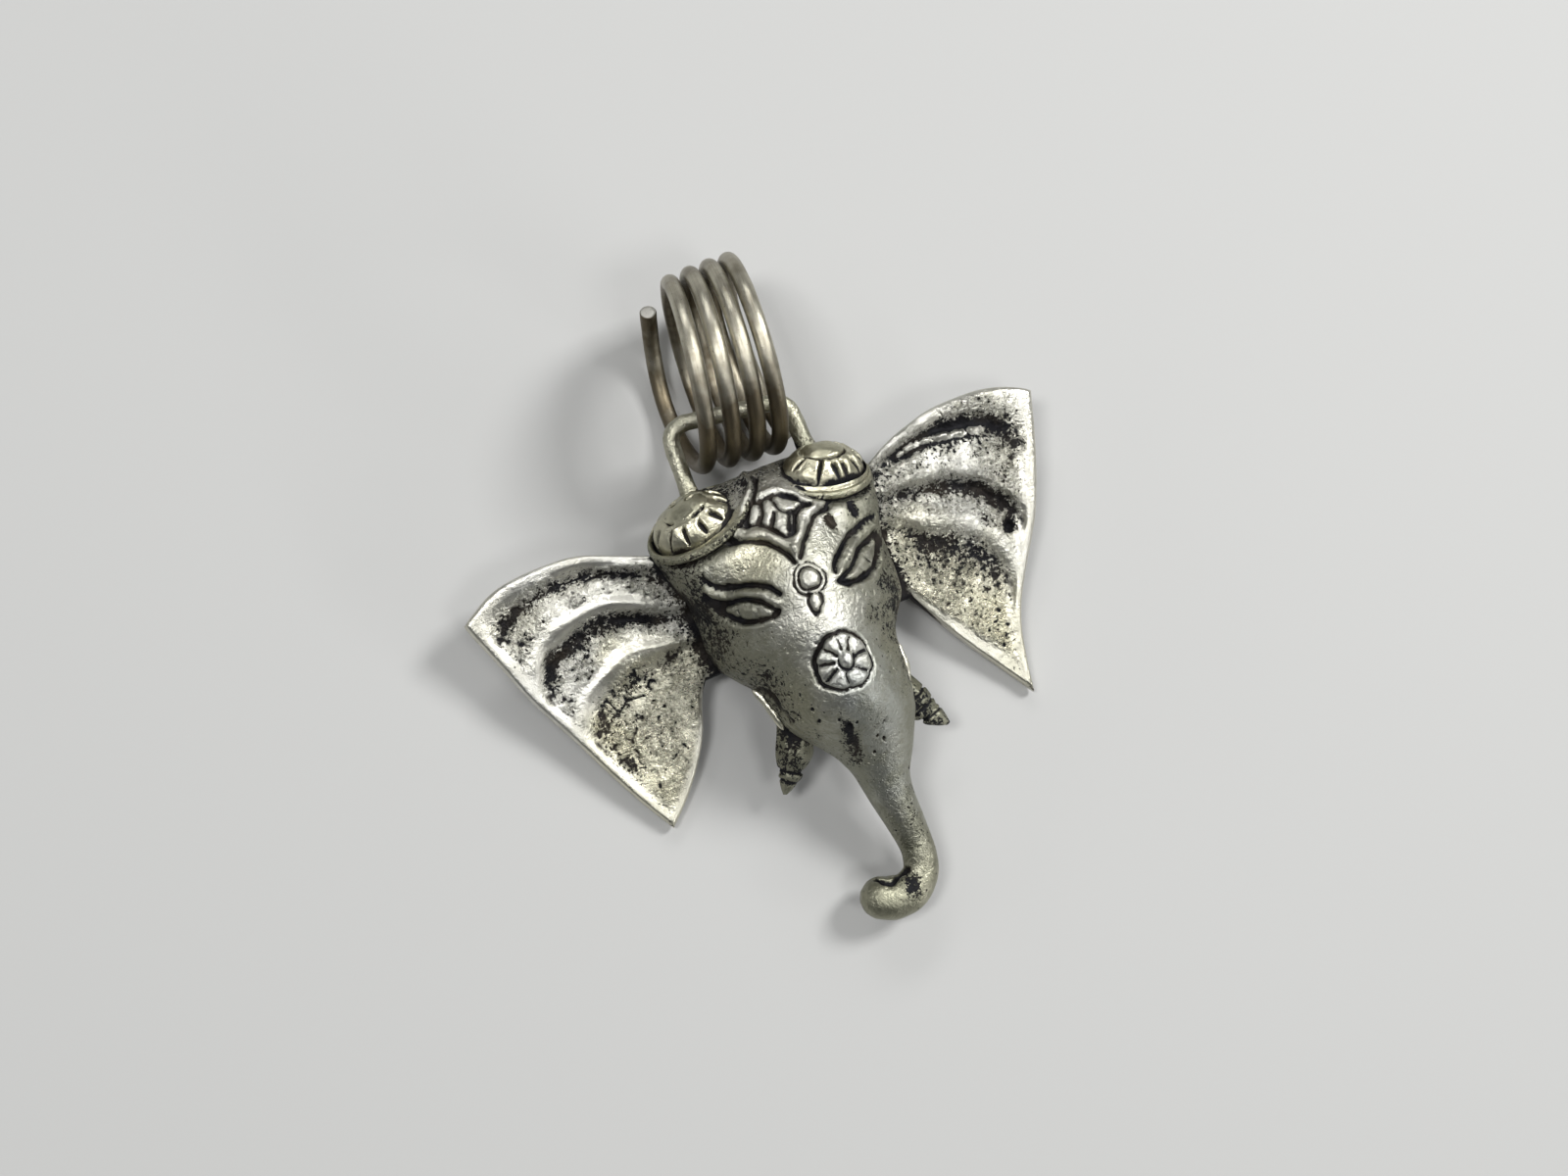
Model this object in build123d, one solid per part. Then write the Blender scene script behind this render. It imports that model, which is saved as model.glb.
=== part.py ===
from build123d import *

import math
import os

import numpy as np

# An elephant-headed deity pendant in cast silver, lying on its back with a coiled wire bail.
#
# The casting is one soldered solid: a hollow-backed head with a curling trunk, two fan ears, two
# crown bosses, tusks, low relief and a wire loop. The bail is a second solid, a loose coil of
# thick wire that is threaded through the loop. Millimetres, +X across the face, +Y towards the
# bail and +Z out of the face. The pendant rests on z = 0.

# Driving dimensions of the head
HEAD_WIDTH = 18.6  # over the temples
HEAD_LENGTH = 25.6  # crown to the root of the trunk
HEAD_DEPTH = 15.5  # rest plane to the bridge of the face
SHELL_WALL = 1.7  # cast wall round the open hollow at the back
TRUNK_LENGTH = 12.4  # root of the trunk to the bottom of its curl
TRUNK_THICKNESS = 5.3  # at the root
TRUNK_ROOT_HEIGHT = 8.9  # top of the trunk at its root, above the rest plane
NECK_ALONG = -0.60  # where the trunk begins, as a share of the head length
NECK_SHARE = 0.35  # share of the head over which its section becomes the trunk's ellipse
FACE_PEAK = 1.5  # roundness of the front skin, where 2 is an ellipse and less is more peaked
BACK_SQUARENESS = 0.45  # roundness of the back rim, where 1 is an ellipse and less is squarer
HOLLOW_RIDGE_WALLS = 1.5  # wall over the hollow's ridge, in shell walls
HOLLOW_RUN_OUT = 0.30  # share of the head length over which its ceiling comes down
HOLLOW_LOW_CEILING = 0.35  # share of the ceiling's rise that is left at the low end
HOLLOW_SPRING = 0.8  # where its ceiling springs from, as a share of the widest height

# Driving dimensions of the ears
EAR_REACH = 16.5  # side of the head to the outer corner
EAR_HEIGHT = 24.0  # top edge to lower tip
EAR_LIFT = 5.8  # rise of the upper root above the lower tip
EAR_WALL = 1.35
EAR_FOLD_DEPTH = 1.15  # drop behind the rim and behind each fold
EAR_FOLD_THROUGH = 0.75  # share of that depth that shows on the ear's back
EAR_ROOT_GRIP = 2.0  # how far an ear reaches into the head

# Driving dimensions of the relief
BOSS_LENGTH = 8.7
BOSS_WIDTH = 7.3
BOSS_RISE = 1.7
BOSS_LEAN = 0.6  # how far the middle of a boss leans towards the crown
BOSS_PETALS = 12
BOSS_SEAT = 0.1  # how far a boss stands off the skin, as a share of its rise
ROSETTE_DIAMETER = 5.0
ROSETTE_PETALS = 8
BINDI_DIAMETER = 2.4
TEAR_LENGTH, TEAR_WIDTH = 1.7, 0.9  # the drop below the bindi
TAB_LENGTH, TAB_WIDTH = 1.9, 0.95  # the studs above the crown band
BAND_WIDTH = 1.3
BROW_WIDTH = 0.9
LID_WIDTH = 0.8
EYE_LENGTH, EYE_WIDTH = 5.2, 1.87
RELIEF_RISE = 0.3
RELIEF_GRIP = 0.7  # how far relief pads reach under the skin

# Driving dimensions of the tusks
TUSK_LENGTH = 6.3
TUSK_WIDTH = 3.1
TUSK_THICKNESS = 1.9

# Driving dimensions of the suspension loop
LOOP_WIRE = 1.3
LOOP_WIDTH = 10.1  # between the leg centres
LOOP_REACH = 5.1  # crown to the bar's centre
LOOP_SLANT = 9.0  # degrees that the bar leans from the X axis
LOOP_CORNER = 1.6
LOOP_GRIP = 1.6  # leg length inside the crown
LOOP_SPLAY = 0.25  # how far a leg's foot stands outside its top
LOOP_DROP = 1.2  # how far a leg's foot lies below the bar
BAR_ASIDE = 0.1  # middle of the bar from the face's centre line
BAR_RISE = 0.4  # how far the bar passes above the coil's axis

# Driving dimensions of the coiled bail
COIL_WIRE = 1.4
COIL_OUTER = 16.9
COIL_PITCH = 1.84
COIL_CLEARANCE = 0.5  # gap between the coil's nearest turn and the crown
COIL_SHIFT = -2.05  # first full turn, along the coil's axis from the middle of the bar
COIL_SLANT = 3.5  # degrees that the coil's axis leans from the X axis
COIL_LEAN = 0.36  # how far the turns lean aside at the coil's far side
COIL_FAN = 0.07  # share by which the turns close up at the coil's far side

# Mesh counts
HEAD_STATIONS = 33
TRUNK_STATIONS = 23
HEAD_POINTS_FRONT = 24
HEAD_POINTS_BACK = 8
WIRE_SIDES = 12
COIL_STEPS_PER_TURN = 26
HOLLOW_STATIONS = 14
HOLLOW_POINTS = 13
RIBBON_STATIONS = 9
TUSK_SIDES = 8

# Head stations from crown to trunk tip. Columns: along (share of head length from the eye line,
# or of trunk length below the root), aside (share of head width), half width, crown, widest and
# back heights (shares of half the head width and of the head depth).
HEAD_ROWS = [
    # along, aside, half width, crown, widest, back
    (0.404, 0.000, 0.56, 0.57, 0.42, 0.100),
    (0.397, 0.000, 0.75, 0.63, 0.41, 0.045),
    (0.375, 0.000, 0.88, 0.69, 0.40, 0.010),
    (0.336, 0.000, 0.97, 0.76, 0.39, 0.000),
    (0.273, 0.000, 1.00, 0.85, 0.37, 0.000),
    (0.176, 0.000, 0.96, 0.93, 0.36, 0.012),
    (0.078, 0.000, 0.91, 0.98, 0.35, 0.030),
    (-0.020, 0.000, 0.91, 1.00, 0.34, 0.050),
    (-0.117, 0.000, 0.88, 0.995, 0.33, 0.080),
    (-0.176, 0.000, 0.78, 0.985, 0.35, 0.120),
    (-0.234, 0.000, 0.67, 0.975, 0.40, 0.180),
    (-0.312, 0.005, 0.61, 0.960, 0.45, 0.245),
    (-0.391, 0.013, 0.57, 0.910, 0.47, 0.285),
    (-0.469, 0.043, 0.475, 0.800, 0.46, 0.290),
    (-0.531, 0.062, 0.37, 0.680, 0.425, 0.270),
]

# Trunk stations. Columns: along (share of trunk length below the root), aside (share of the trunk
# length), heading (degrees, -90 straight down), half width (share of half the root thickness) and
# centre height (share of the root's).
TRUNK_ROWS = [
    # along, aside, heading, half width, centre height
    (0.00, 0.089, -92, 1.00, 1.00),
    (0.145, 0.069, -90, 0.76, 0.90),
    (0.306, 0.081, -86, 0.65, 0.77),
    (0.468, 0.103, -85, 0.585, 0.64),
    (0.613, 0.113, -92, 0.54, 0.54),
    (0.734, 0.093, -114, 0.55, 0.49),
    (0.823, 0.028, -146, 0.60, 0.465),
    (0.867, -0.065, -172, 0.65, 0.46),
    (0.863, -0.161, -188, 0.68, 0.47),
    (0.827, -0.250, -203, 0.66, 0.49),
    (0.790, -0.323, -208, 0.49, 0.50),
    (0.772, -0.363, -208, 0.20, 0.505),
]

# Ear outlines seen from the front. Columns: out (share of the ear's reach from the side of the
# head), up (share of the ear's height from the eye line), lift (share of the ear's lift).
EAR_TOP_EDGE = {
    -1: [(0.00, 0.292, 1.00), (0.22, 0.357, 1.00), (0.40, 0.403, 0.99), (0.60, 0.410, 0.95),
         (0.78, 0.402, 0.87), (0.90, 0.368, 0.79), (1.00, 0.326, 0.72)],
    1: [(0.00, 0.305, 1.00), (0.18, 0.367, 1.00), (0.31, 0.392, 1.00), (0.44, 0.413, 0.99),
        (0.66, 0.415, 0.92), (0.87, 0.386, 0.81), (0.98, 0.345, 0.72)],
}
EAR_OUTER_EDGE = {
    -1: [(1.00, 0.326, 0.72), (0.985, 0.285, 0.69), (0.925, 0.180, 0.59), (0.845, 0.016, 0.45),
         (0.735, -0.140, 0.30), (0.625, -0.308, 0.17), (0.51, -0.471, 0.06),
         (0.425, -0.572, 0.00)],
    1: [(0.98, 0.345, 0.72), (0.905, 0.172, 0.60), (0.855, 0.076, 0.53), (0.755, -0.079, 0.42),
        (0.650, -0.190, 0.33), (0.565, -0.284, 0.25), (0.500, -0.375, 0.17),
        (0.465, -0.475, 0.09), (0.425, -0.632, 0.00)],
}
EAR_INNER_EDGE = {
    -1: [(0.00, -0.150, 0.34), (0.05, -0.198, 0.31), (0.105, -0.305, 0.23), (0.21, -0.419, 0.11),
         (0.31, -0.499, 0.04), (0.425, -0.572, 0.00)],
    1: [(0.00, -0.160, 0.34), (0.07, -0.245, 0.28), (0.17, -0.367, 0.19), (0.31, -0.510, 0.07),
        (0.425, -0.632, 0.00)],
}

# Places of the two fold crests across an ear. Columns: share of the way from the root to the
# outer edge, then each crest's share of the way from the top edge to the inner edge.
EAR_CRESTS = {
    -1: [(0.00, 0.40, 0.68), (0.28, 0.30, 0.55), (0.50, 0.26, 0.495), (0.75, 0.265, 0.505),
         (1.00, 0.38, 0.60)],
    1: [(0.00, 0.22, 0.42), (0.30, 0.25, 0.465), (0.55, 0.285, 0.48), (0.80, 0.345, 0.53),
        (1.00, 0.42, 0.62)],
}

# Section of an ear from its top edge to its inner edge. Columns: place (0 to 1 is the top edge to
# the first crest, 1 to 2 the first to the second, 2 to 3 the second to the inner edge) and depth
# below the plain sheet (share of the fold depth).
EAR_SECTION = [
    (0.00, 0.06), (0.06, 0.00), (0.17, 0.00), (0.27, 0.50), (0.38, 0.85), (0.52, 0.55),
    (0.70, 0.22), (1.00, 0.00), (1.14, 0.62), (1.27, 1.00), (1.42, 0.72), (1.65, 0.30),
    (2.00, 0.00), (2.08, 0.55), (2.17, 0.80), (2.32, 0.55), (2.55, 0.28), (2.80, 0.06),
    (3.00, 0.00),
]
# Fading of the folds across an ear. Columns: share of the way from the root, depth share.
EAR_FADE = [
    (0.00, 0.35), (0.06, 0.50), (0.13, 0.75), (0.21, 1.00), (0.30, 1.00), (0.40, 1.00),
    (0.50, 1.00), (0.60, 1.00), (0.70, 1.00), (0.79, 1.00), (0.86, 0.80), (0.92, 0.40),
    (0.965, 0.00), (1.00, 0.05),
]

# Crown band: an arrow whose arms run from the bosses to a point above the bindi. Columns: aside
# (share of half the head width), along (share of head length).
BAND_ARM = [(0.44, 0.222), (0.29, 0.192), (0.15, 0.145), (0.00, 0.092)]
TAB_ROW = [(0.26, 0.258), (0.13, 0.225)]  # on each side of a tab in the middle
TAB_MIDDLE = (0.0, 0.180)
TAB_TURN = 128.0  # degrees that a side tab's long axis turns from the X axis
# Brow and upper lid of the eye, from the outer to the inner corner. Columns as above.
BROW_LINE = [(0.75, 0.115), (0.62, 0.072), (0.50, 0.064), (0.38, 0.045), (0.26, -0.010)]
LID_LINE = [(0.76, 0.052), (0.62, 0.034), (0.48, 0.022), (0.36, -0.018), (0.29, -0.058)]
EYE_CENTRE = (0.53, -0.012)
EYE_TURN = 33.0  # degrees that the eye's long axis falls towards the trunk
ROSETTE_ALONG = -0.273
TEAR_ALONG = -0.085
BOSS_CENTRE = (0.565, 0.306)
BOSS_FACING = (0.32, 0.67, 0.67)  # outwards, towards the crown, out of the face
BOSS_LENGTH_AXIS = (-0.86, 0.10, 0.50)
# Profile of a boss from its foot to its middle. Columns: radius (share of half its length and
# width), height (share of its rise) and petal height (share of its rise).
BOSS_PROFILE = [
    (0.90, -1.40, 0.00), (1.00, -0.30, 0.00), (1.00, -0.02, 0.00), (0.93, 0.12, 0.00),
    (0.86, 0.00, 0.00), (0.82, 0.20, 0.10), (0.66, 0.56, 0.14), (0.48, 0.78, 0.06),
    (0.45, 0.92, 0.00), (0.16, 1.05, 0.00),
]
# Rings of the rosette. Columns: radius (share of half its diameter), length and width of what
# stands there (shares of half its diameter) and rise (share of the relief's).
ROSETTE_BASE = (0.0, 2.00, 2.00, 0.6)
ROSETTE_PETAL = (0.62, 0.56, 0.44, 1.5)
ROSETTE_HEART = (0.0, 0.56, 0.56, 1.8)
# Sections of a relief pad from its foot to its top. Columns: scale of the outline, rise share.
PAD_ROWS = [(1.0, None), (1.0, 0.35), (0.72, 0.90)]
# Section of a raised strip. Columns: across (share of half its width), rise share.
RIBBON_SECTION = [(-1.0, 0.1), (-0.6, 1.0), (0.6, 1.0), (1.0, 0.1), (1.0, None), (-1.0, None)]

# Tusks. Columns of the base and of the tip: aside (share of half the head width), along (share of
# head length), height (share of head depth).
TUSK_BASE = (0.55, -0.363, 0.37)
TUSK_AIM = {-1: (-0.33, -0.87, -0.37), 1: (0.41, -0.86, -0.30)}
# Sections along a tusk. Columns: reach (share of its length), size (share of its width and
# thickness), inwards (shift towards the trunk, share of half the width).
TUSK_ROWS = [
    (-0.30, 0.60, 0.30), (0.00, 0.78, 0.42), (0.25, 0.92, 0.55), (0.48, 1.00, 0.58),
    (0.68, 0.72, 0.42), (0.72, 0.58, 0.36), (0.76, 0.64, 0.36), (0.92, 0.36, 0.18),
    (1.00, 0.12, 0.04),
]

# Turns of the coil, counted from the first near the crown. Columns: turn, offset from an even
# pitch (share of the pitch), radius (share of the coil's).
COIL_ROWS = [
    (-0.43, -0.10, 0.955), (-0.25, -0.42, 0.96), (0.0, 0.0, 0.955), (1.0, 0.08, 0.975),
    (2.0, 0.10, 0.99), (3.0, 0.05, 1.0), (3.5, 0.0, 1.0), (3.9, 0.0, 1.0),
]


def smooth(table, column, at):
    """Value of a table's column at a place along its first column, with no overshoot."""
    x = np.array([row[0] for row in table], float)
    y = np.array([row[column] for row in table], float)
    if x[0] > x[-1]:
        x, y = x[::-1], y[::-1]
    step = np.diff(x)
    slope = np.diff(y) / step
    tangent = np.zeros(len(x))
    tangent[0], tangent[-1] = slope[0], slope[-1]
    same_way = slope[:-1] * slope[1:] > 0
    mean = 2 * slope[:-1] * slope[1:] / np.where(same_way, slope[:-1] + slope[1:], 1.0)
    tangent[1:-1] = np.where(same_way, mean, 0.0)
    at = np.clip(np.asarray(at, float), x[0], x[-1])
    i = np.clip(np.searchsorted(x, at, side="right") - 1, 0, len(x) - 2)
    t = (at - x[i]) / step[i]
    return (
        (2 * t**3 - 3 * t**2 + 1) * y[i]
        + (t**3 - 2 * t**2 + t) * step[i] * tangent[i]
        + (3 * t**2 - 2 * t**3) * y[i + 1]
        + (t**3 - t**2) * step[i] * tangent[i + 1]
    )


def curve_through(points):
    """A smooth curve through a short list of points, as a function of 0 to 1 along its length."""
    points = np.array(points, float)
    run = np.concatenate([[0], np.cumsum(np.linalg.norm(np.diff(points, axis=0), axis=1))])
    table = [(s, *p) for s, p in zip(run / run[-1], points)]

    def curve(share):
        return np.stack([smooth(table, k + 1, share) for k in range(points.shape[1])], axis=-1)

    return curve


def solid_from(vertices, triangles):
    """One closed solid from a mesh's vertices and triangles."""
    corners = [Vector(*map(float, v)) for v in vertices]
    faces = [
        Face(Wire.make_polygon([corners[a], corners[b], corners[c]], close=True))
        for a, b, c in triangles
    ]
    solid = Solid(Shell(faces))
    return solid if solid.volume > 0 else Solid(Shell([-f for f in faces]))


def tube_solid(rings):
    """One solid from a stack of closed rings, capped with a flat fan at each end."""
    stations, points, _ = rings.shape
    vertices = rings.reshape(-1, 3)
    triangles = []
    for i in range(stations - 1):
        for j in range(points):
            a, b = i * points + j, i * points + (j + 1) % points
            triangles += [(a, b, b + points), (a, b + points, a + points)]
    ends = len(vertices)
    vertices = np.vstack([vertices, rings[0].mean(0), rings[-1].mean(0)])
    last = (stations - 1) * points
    for j in range(points):
        k = (j + 1) % points
        triangles += [(ends, k, j), (ends + 1, last + j, last + k)]
    return solid_from(vertices, triangles)


def slab_solid(front, back):
    """One solid between two matching grids of points."""
    rows, columns, _ = front.shape
    vertices = np.vstack([front.reshape(-1, 3), back.reshape(-1, 3)])
    under = rows * columns
    triangles = []
    for i in range(rows - 1):
        for j in range(columns - 1):
            a = i * columns + j
            b, c, d = a + 1, a + columns, a + columns + 1
            triangles += [(a, b, d), (a, d, c)]
            triangles += [(under + a, under + d, under + b), (under + a, under + c, under + d)]
    edge = [j for j in range(columns)]
    edge += [i * columns + columns - 1 for i in range(1, rows)]
    edge += [(rows - 1) * columns + j for j in range(columns - 2, -1, -1)]
    edge += [i * columns for i in range(rows - 2, 0, -1)]
    for a, b in zip(edge, edge[1:] + edge[:1]):
        triangles += [(a, under + a, under + b), (a, under + b, b)]
    return solid_from(vertices, triangles)


def head_measures(y):
    """Centre, half width, crown, widest and back heights of the head at a place along it."""
    share = np.asarray(y, float) / HEAD_LENGTH
    return (
        smooth(HEAD_ROWS, 1, share) * HEAD_WIDTH,
        smooth(HEAD_ROWS, 2, share) * HEAD_WIDTH / 2,
        smooth(HEAD_ROWS, 3, share) * HEAD_DEPTH,
        smooth(HEAD_ROWS, 4, share) * HEAD_DEPTH,
        smooth(HEAD_ROWS, 5, share) * HEAD_DEPTH,
    )


def crown_height(x, y):
    """Height of the plain front skin above the rest plane."""
    centre, half, top, widest, _ = head_measures(y)
    across = np.clip(np.abs(np.asarray(x, float) - centre) / half, 0, 0.995)
    return widest + (top - widest) * np.sqrt(1 - across**FACE_PEAK)


def ring(half, top, widest, back, peak, squareness):
    """Cross-section of the head or trunk as points across and up, anticlockwise."""
    front = np.linspace(0, math.pi, HEAD_POINTS_FRONT, endpoint=False)
    rear = np.linspace(math.pi, 2 * math.pi, HEAD_POINTS_BACK, endpoint=False)
    across = np.concatenate([
        np.sign(np.cos(front)) * np.abs(np.cos(front)) ** (2 / peak),
        np.sign(np.cos(rear)) * np.abs(np.cos(rear)) ** squareness,
    ])
    up = np.concatenate([
        widest + (top - widest) * np.sin(front),
        widest - (widest - back) * np.abs(np.sin(rear)) ** squareness,
    ])
    return across * half, up


def trunk_path(share):
    """Centre, heading and radius of the trunk at a share of its stations."""
    rows = [(i / (len(TRUNK_ROWS) - 1), *row) for i, row in enumerate(TRUNK_ROWS)]
    root = NECK_ALONG * HEAD_LENGTH
    radius = smooth(rows, 4, share) * TRUNK_THICKNESS / 2
    height = smooth(rows, 5, share) * (TRUNK_ROOT_HEIGHT - TRUNK_THICKNESS / 2)
    centre = (smooth(rows, 2, share) * TRUNK_LENGTH, root - smooth(rows, 1, share) * TRUNK_LENGTH)
    return centre, np.radians(smooth(rows, 3, share)), radius, height


def head_and_trunk():
    """The head's outer skin, running on into the trunk and its curl."""
    first = HEAD_ROWS[0][0] * HEAD_LENGTH
    last = HEAD_ROWS[-1][0] * HEAD_LENGTH
    spread = np.linspace(0, 1, HEAD_STATIONS)
    places = first + (last - first) * (0.8 * spread + 0.2 * spread**2)  # closer at the crown
    rings = []
    for y in places:
        centre, half, top, widest, back = head_measures(y)
        rounding = np.clip(1 - (y - last) / (first - last) / NECK_SHARE, 0, 1)
        across, up = ring(half, top, widest, back, FACE_PEAK + (2 - FACE_PEAK) * rounding,
                          BACK_SQUARENESS + (1 - BACK_SQUARENESS) * rounding)
        rings.append(np.stack([centre + across, np.full_like(up, y), up], axis=-1))
    for share in np.linspace(0, 1, TRUNK_STATIONS):
        (x, y), heading, radius, height = trunk_path(share)
        across, up = ring(radius, height + radius, height, height - radius, 2, 1)
        aside = np.array([-math.sin(heading), math.cos(heading), 0])
        rings.append(np.array([x, y, 0]) + across[:, None] * aside + up[:, None] * [0, 0, 1])
    return tube_solid(np.array(rings))


def hollow():
    """The open hollow at the back of the head, one wall inside the skin."""
    top_end = HEAD_ROWS[1][0] * HEAD_LENGTH - SHELL_WALL
    low_end = HEAD_ROWS[-3][0] * HEAD_LENGTH
    run_out = HOLLOW_RUN_OUT * HEAD_LENGTH
    angle = np.linspace(0, math.pi, HOLLOW_POINTS)
    rings = []
    for y in np.linspace(top_end, low_end, HOLLOW_STATIONS):
        centre, half, top, widest, _ = head_measures(y)
        ending = 1 - np.clip((low_end + run_out - y) / run_out, 0, 1) ** 2
        inner = half - SHELL_WALL
        rise = HOLLOW_LOW_CEILING + (1 - HOLLOW_LOW_CEILING) * ending
        ceiling = widest + (top - HOLLOW_RIDGE_WALLS * SHELL_WALL - widest) * rise
        spring = widest * HOLLOW_SPRING
        across = np.cos(angle) * inner
        up = spring + (ceiling - spring) * np.sin(angle)
        points = [(centre + a, y, u) for a, u in zip(across, up)]
        points += [(centre - inner, y, -SHELL_WALL), (centre + inner, y, -SHELL_WALL)]
        rings.append(points)
    return tube_solid(np.array(rings))


def coons(bottom, top, left, right, across, along):
    """Points filling four edge curves that meet at their ends, at given shares of the way."""
    s, t = across[..., None], along[..., None]
    corners = ((1 - s) * (1 - t) * bottom(0.0) + s * (1 - t) * bottom(1.0)
               + (1 - s) * t * top(0.0) + s * t * top(1.0))
    return ((1 - t) * bottom(across) + t * top(across)
            + (1 - s) * left(along) + s * right(along) - corners)


def ear_point(out, up, lift):
    """A point of the ear's front from its shares, before it is mirrored."""
    return (HEAD_WIDTH / 2 + out * EAR_REACH, up * EAR_HEIGHT, EAR_WALL + lift * EAR_LIFT)


def ear_edge(table):
    """A curve from 0 to 1 along one edge of an ear."""
    return curve_through([ear_point(*row) for row in table])


def ear_sheet(side, across, place):
    """Plain sheet of an ear at shares from the root outwards and at places of its section."""
    crests = [smooth(EAR_CRESTS[side], k, across) for k in (1, 2)]
    stops = [np.zeros_like(across), crests[0], crests[1], np.ones_like(across)]
    band = np.clip(np.floor(place), 0, 2).astype(int)
    low, high = np.choose(band, stops), np.choose(band + 1, stops)
    along = low + (place - band) * (high - low)
    top, inner, outer = (
        ear_edge(table[side]) for table in (EAR_TOP_EDGE, EAR_INNER_EDGE, EAR_OUTER_EDGE)
    )

    def root(share):
        share = np.asarray(share)[..., None]
        return top(0.0) * (1 - share) + inner(0.0) * share

    return coons(top, inner, root, outer, across, along)


def ear_depth(across, place):
    """Depth of an ear's folds below its plain sheet."""
    return EAR_FOLD_DEPTH * smooth(EAR_SECTION, 1, place) * smooth(EAR_FADE, 1, across)


def ear(side):
    """One ear: a thin cast sheet with a raised rim and terraced folds."""
    across, place = np.meshgrid([row[0] for row in EAR_FADE], [row[0] for row in EAR_SECTION])
    sheet = ear_sheet(side, across, place)
    depth = ear_depth(across, place)
    front, back = sheet.copy(), sheet.copy()
    front[..., 2] -= depth
    back[..., 2] = np.maximum(back[..., 2] - EAR_WALL - EAR_FOLD_THROUGH * depth, 0)
    grip = np.array([EAR_ROOT_GRIP, 0, 0])
    front = np.concatenate([front[:, :1] - grip, front], axis=1)
    back = np.concatenate([back[:, :1] - grip, back], axis=1)
    mirror = np.array([side, 1, 1])
    return slab_solid(front * mirror, back * mirror)


def pad(outline, rise):
    """A low pad on the face: its outline raised a little, its middle raised fully."""
    outline = np.array(outline, float)
    middle = outline.mean(0)
    rings = []
    for scale, share in PAD_ROWS:
        points = middle + (outline - middle) * scale
        height = crown_height(points[:, 0], points[:, 1])
        height += -RELIEF_GRIP if share is None else share * rise
        rings.append(np.column_stack([points, height]))
    return tube_solid(np.array(rings))


def ribbon(points, width, rise, taper=0.35):
    """A raised strip on the face along a short list of points."""
    line = curve_through(points)(np.linspace(0, 1, RIBBON_STATIONS))
    run = np.gradient(line, axis=0)
    normal = np.stack([-run[:, 1], run[:, 0]], axis=-1)
    normal /= np.linalg.norm(normal, axis=1)[:, None]
    place = np.linspace(-1, 1, RIBBON_STATIONS)
    half = width / 2 * (taper + (1 - taper) * np.sqrt(1 - place**2))
    rings = []
    for middle, side, reach in zip(line, normal, half):
        ring_points = []
        for across, share in RIBBON_SECTION:
            x, y = middle + across * reach * side
            up = -RELIEF_GRIP if share is None else share * rise
            ring_points.append((x, y, crown_height(x, y) + up))
        rings.append(ring_points)
    return tube_solid(np.array(rings))


def on_face(aside, along, side=1):
    """Plan position on the face from its shares."""
    return np.array([side * aside * HEAD_WIDTH / 2, along * HEAD_LENGTH])


def oval(centre, length, width, turn=0.0, count=16, point=1.0):
    """Outline of an oval, pointed at both ends where point is above 1."""
    angle = np.linspace(0, 2 * math.pi, count, endpoint=False)
    along = length / 2 * np.cos(angle)
    across = width / 2 * np.sin(angle) * np.abs(np.sin(angle)) ** (point - 1)
    c, s = math.cos(math.radians(turn)), math.sin(math.radians(turn))
    return np.stack([centre[0] + along * c - across * s, centre[1] + along * s + across * c], -1)


def rosette():
    """The flower medallion on the bridge of the trunk."""
    centre = on_face(0.0, ROSETTE_ALONG)
    radius = ROSETTE_DIAMETER / 2

    def piece(row, turn, count):
        reach, length, width, rise = row
        aim = np.array([math.cos(math.radians(turn)), math.sin(math.radians(turn))])
        shape = oval(centre + reach * radius * aim, length * radius, width * radius, turn, count)
        return pad(shape, rise * RELIEF_RISE)

    petals = [360 * (k + 0.5) / ROSETTE_PETALS for k in range(ROSETTE_PETALS)]
    return [
        piece(ROSETTE_BASE, 0, 24),
        *[piece(ROSETTE_PETAL, turn, 8) for turn in petals],
        piece(ROSETTE_HEART, 0, 8),
    ]


def face_relief():
    """Crown band, studs, bindi, tear, brows, lids and eyes."""
    pads = rosette()
    pads.append(pad(oval((0, 0), BINDI_DIAMETER, BINDI_DIAMETER), 1.6 * RELIEF_RISE))
    tear = oval(on_face(0, TEAR_ALONG), TEAR_LENGTH, TEAR_WIDTH, 90, 8, 1.4)
    pads.append(pad(tear, RELIEF_RISE))
    pads.append(pad(oval(on_face(*TAB_MIDDLE), TAB_LENGTH, TAB_WIDTH, 90, 10), RELIEF_RISE))
    for side in (-1, 1):
        arm = [on_face(a, b, side) for a, b in BAND_ARM]
        pads.append(ribbon(arm, BAND_WIDTH, RELIEF_RISE, taper=0.9))
        for aside, along in TAB_ROW:
            tab = oval(on_face(aside, along, side), TAB_LENGTH, TAB_WIDTH, side * TAB_TURN, 10)
            pads.append(pad(tab, RELIEF_RISE))
        for line, width in ((BROW_LINE, BROW_WIDTH), (LID_LINE, LID_WIDTH)):
            fold = [on_face(a, b, side) for a, b in line]
            pads.append(ribbon(fold, width, 1.3 * RELIEF_RISE))
        eye = oval(on_face(*EYE_CENTRE, side), EYE_LENGTH, EYE_WIDTH, side * EYE_TURN, 12, 1.2)
        pads.append(pad(eye, 1.2 * RELIEF_RISE))
    return pads


def unit(v):
    v = np.array(v, float)
    return v / np.linalg.norm(v)


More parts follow.
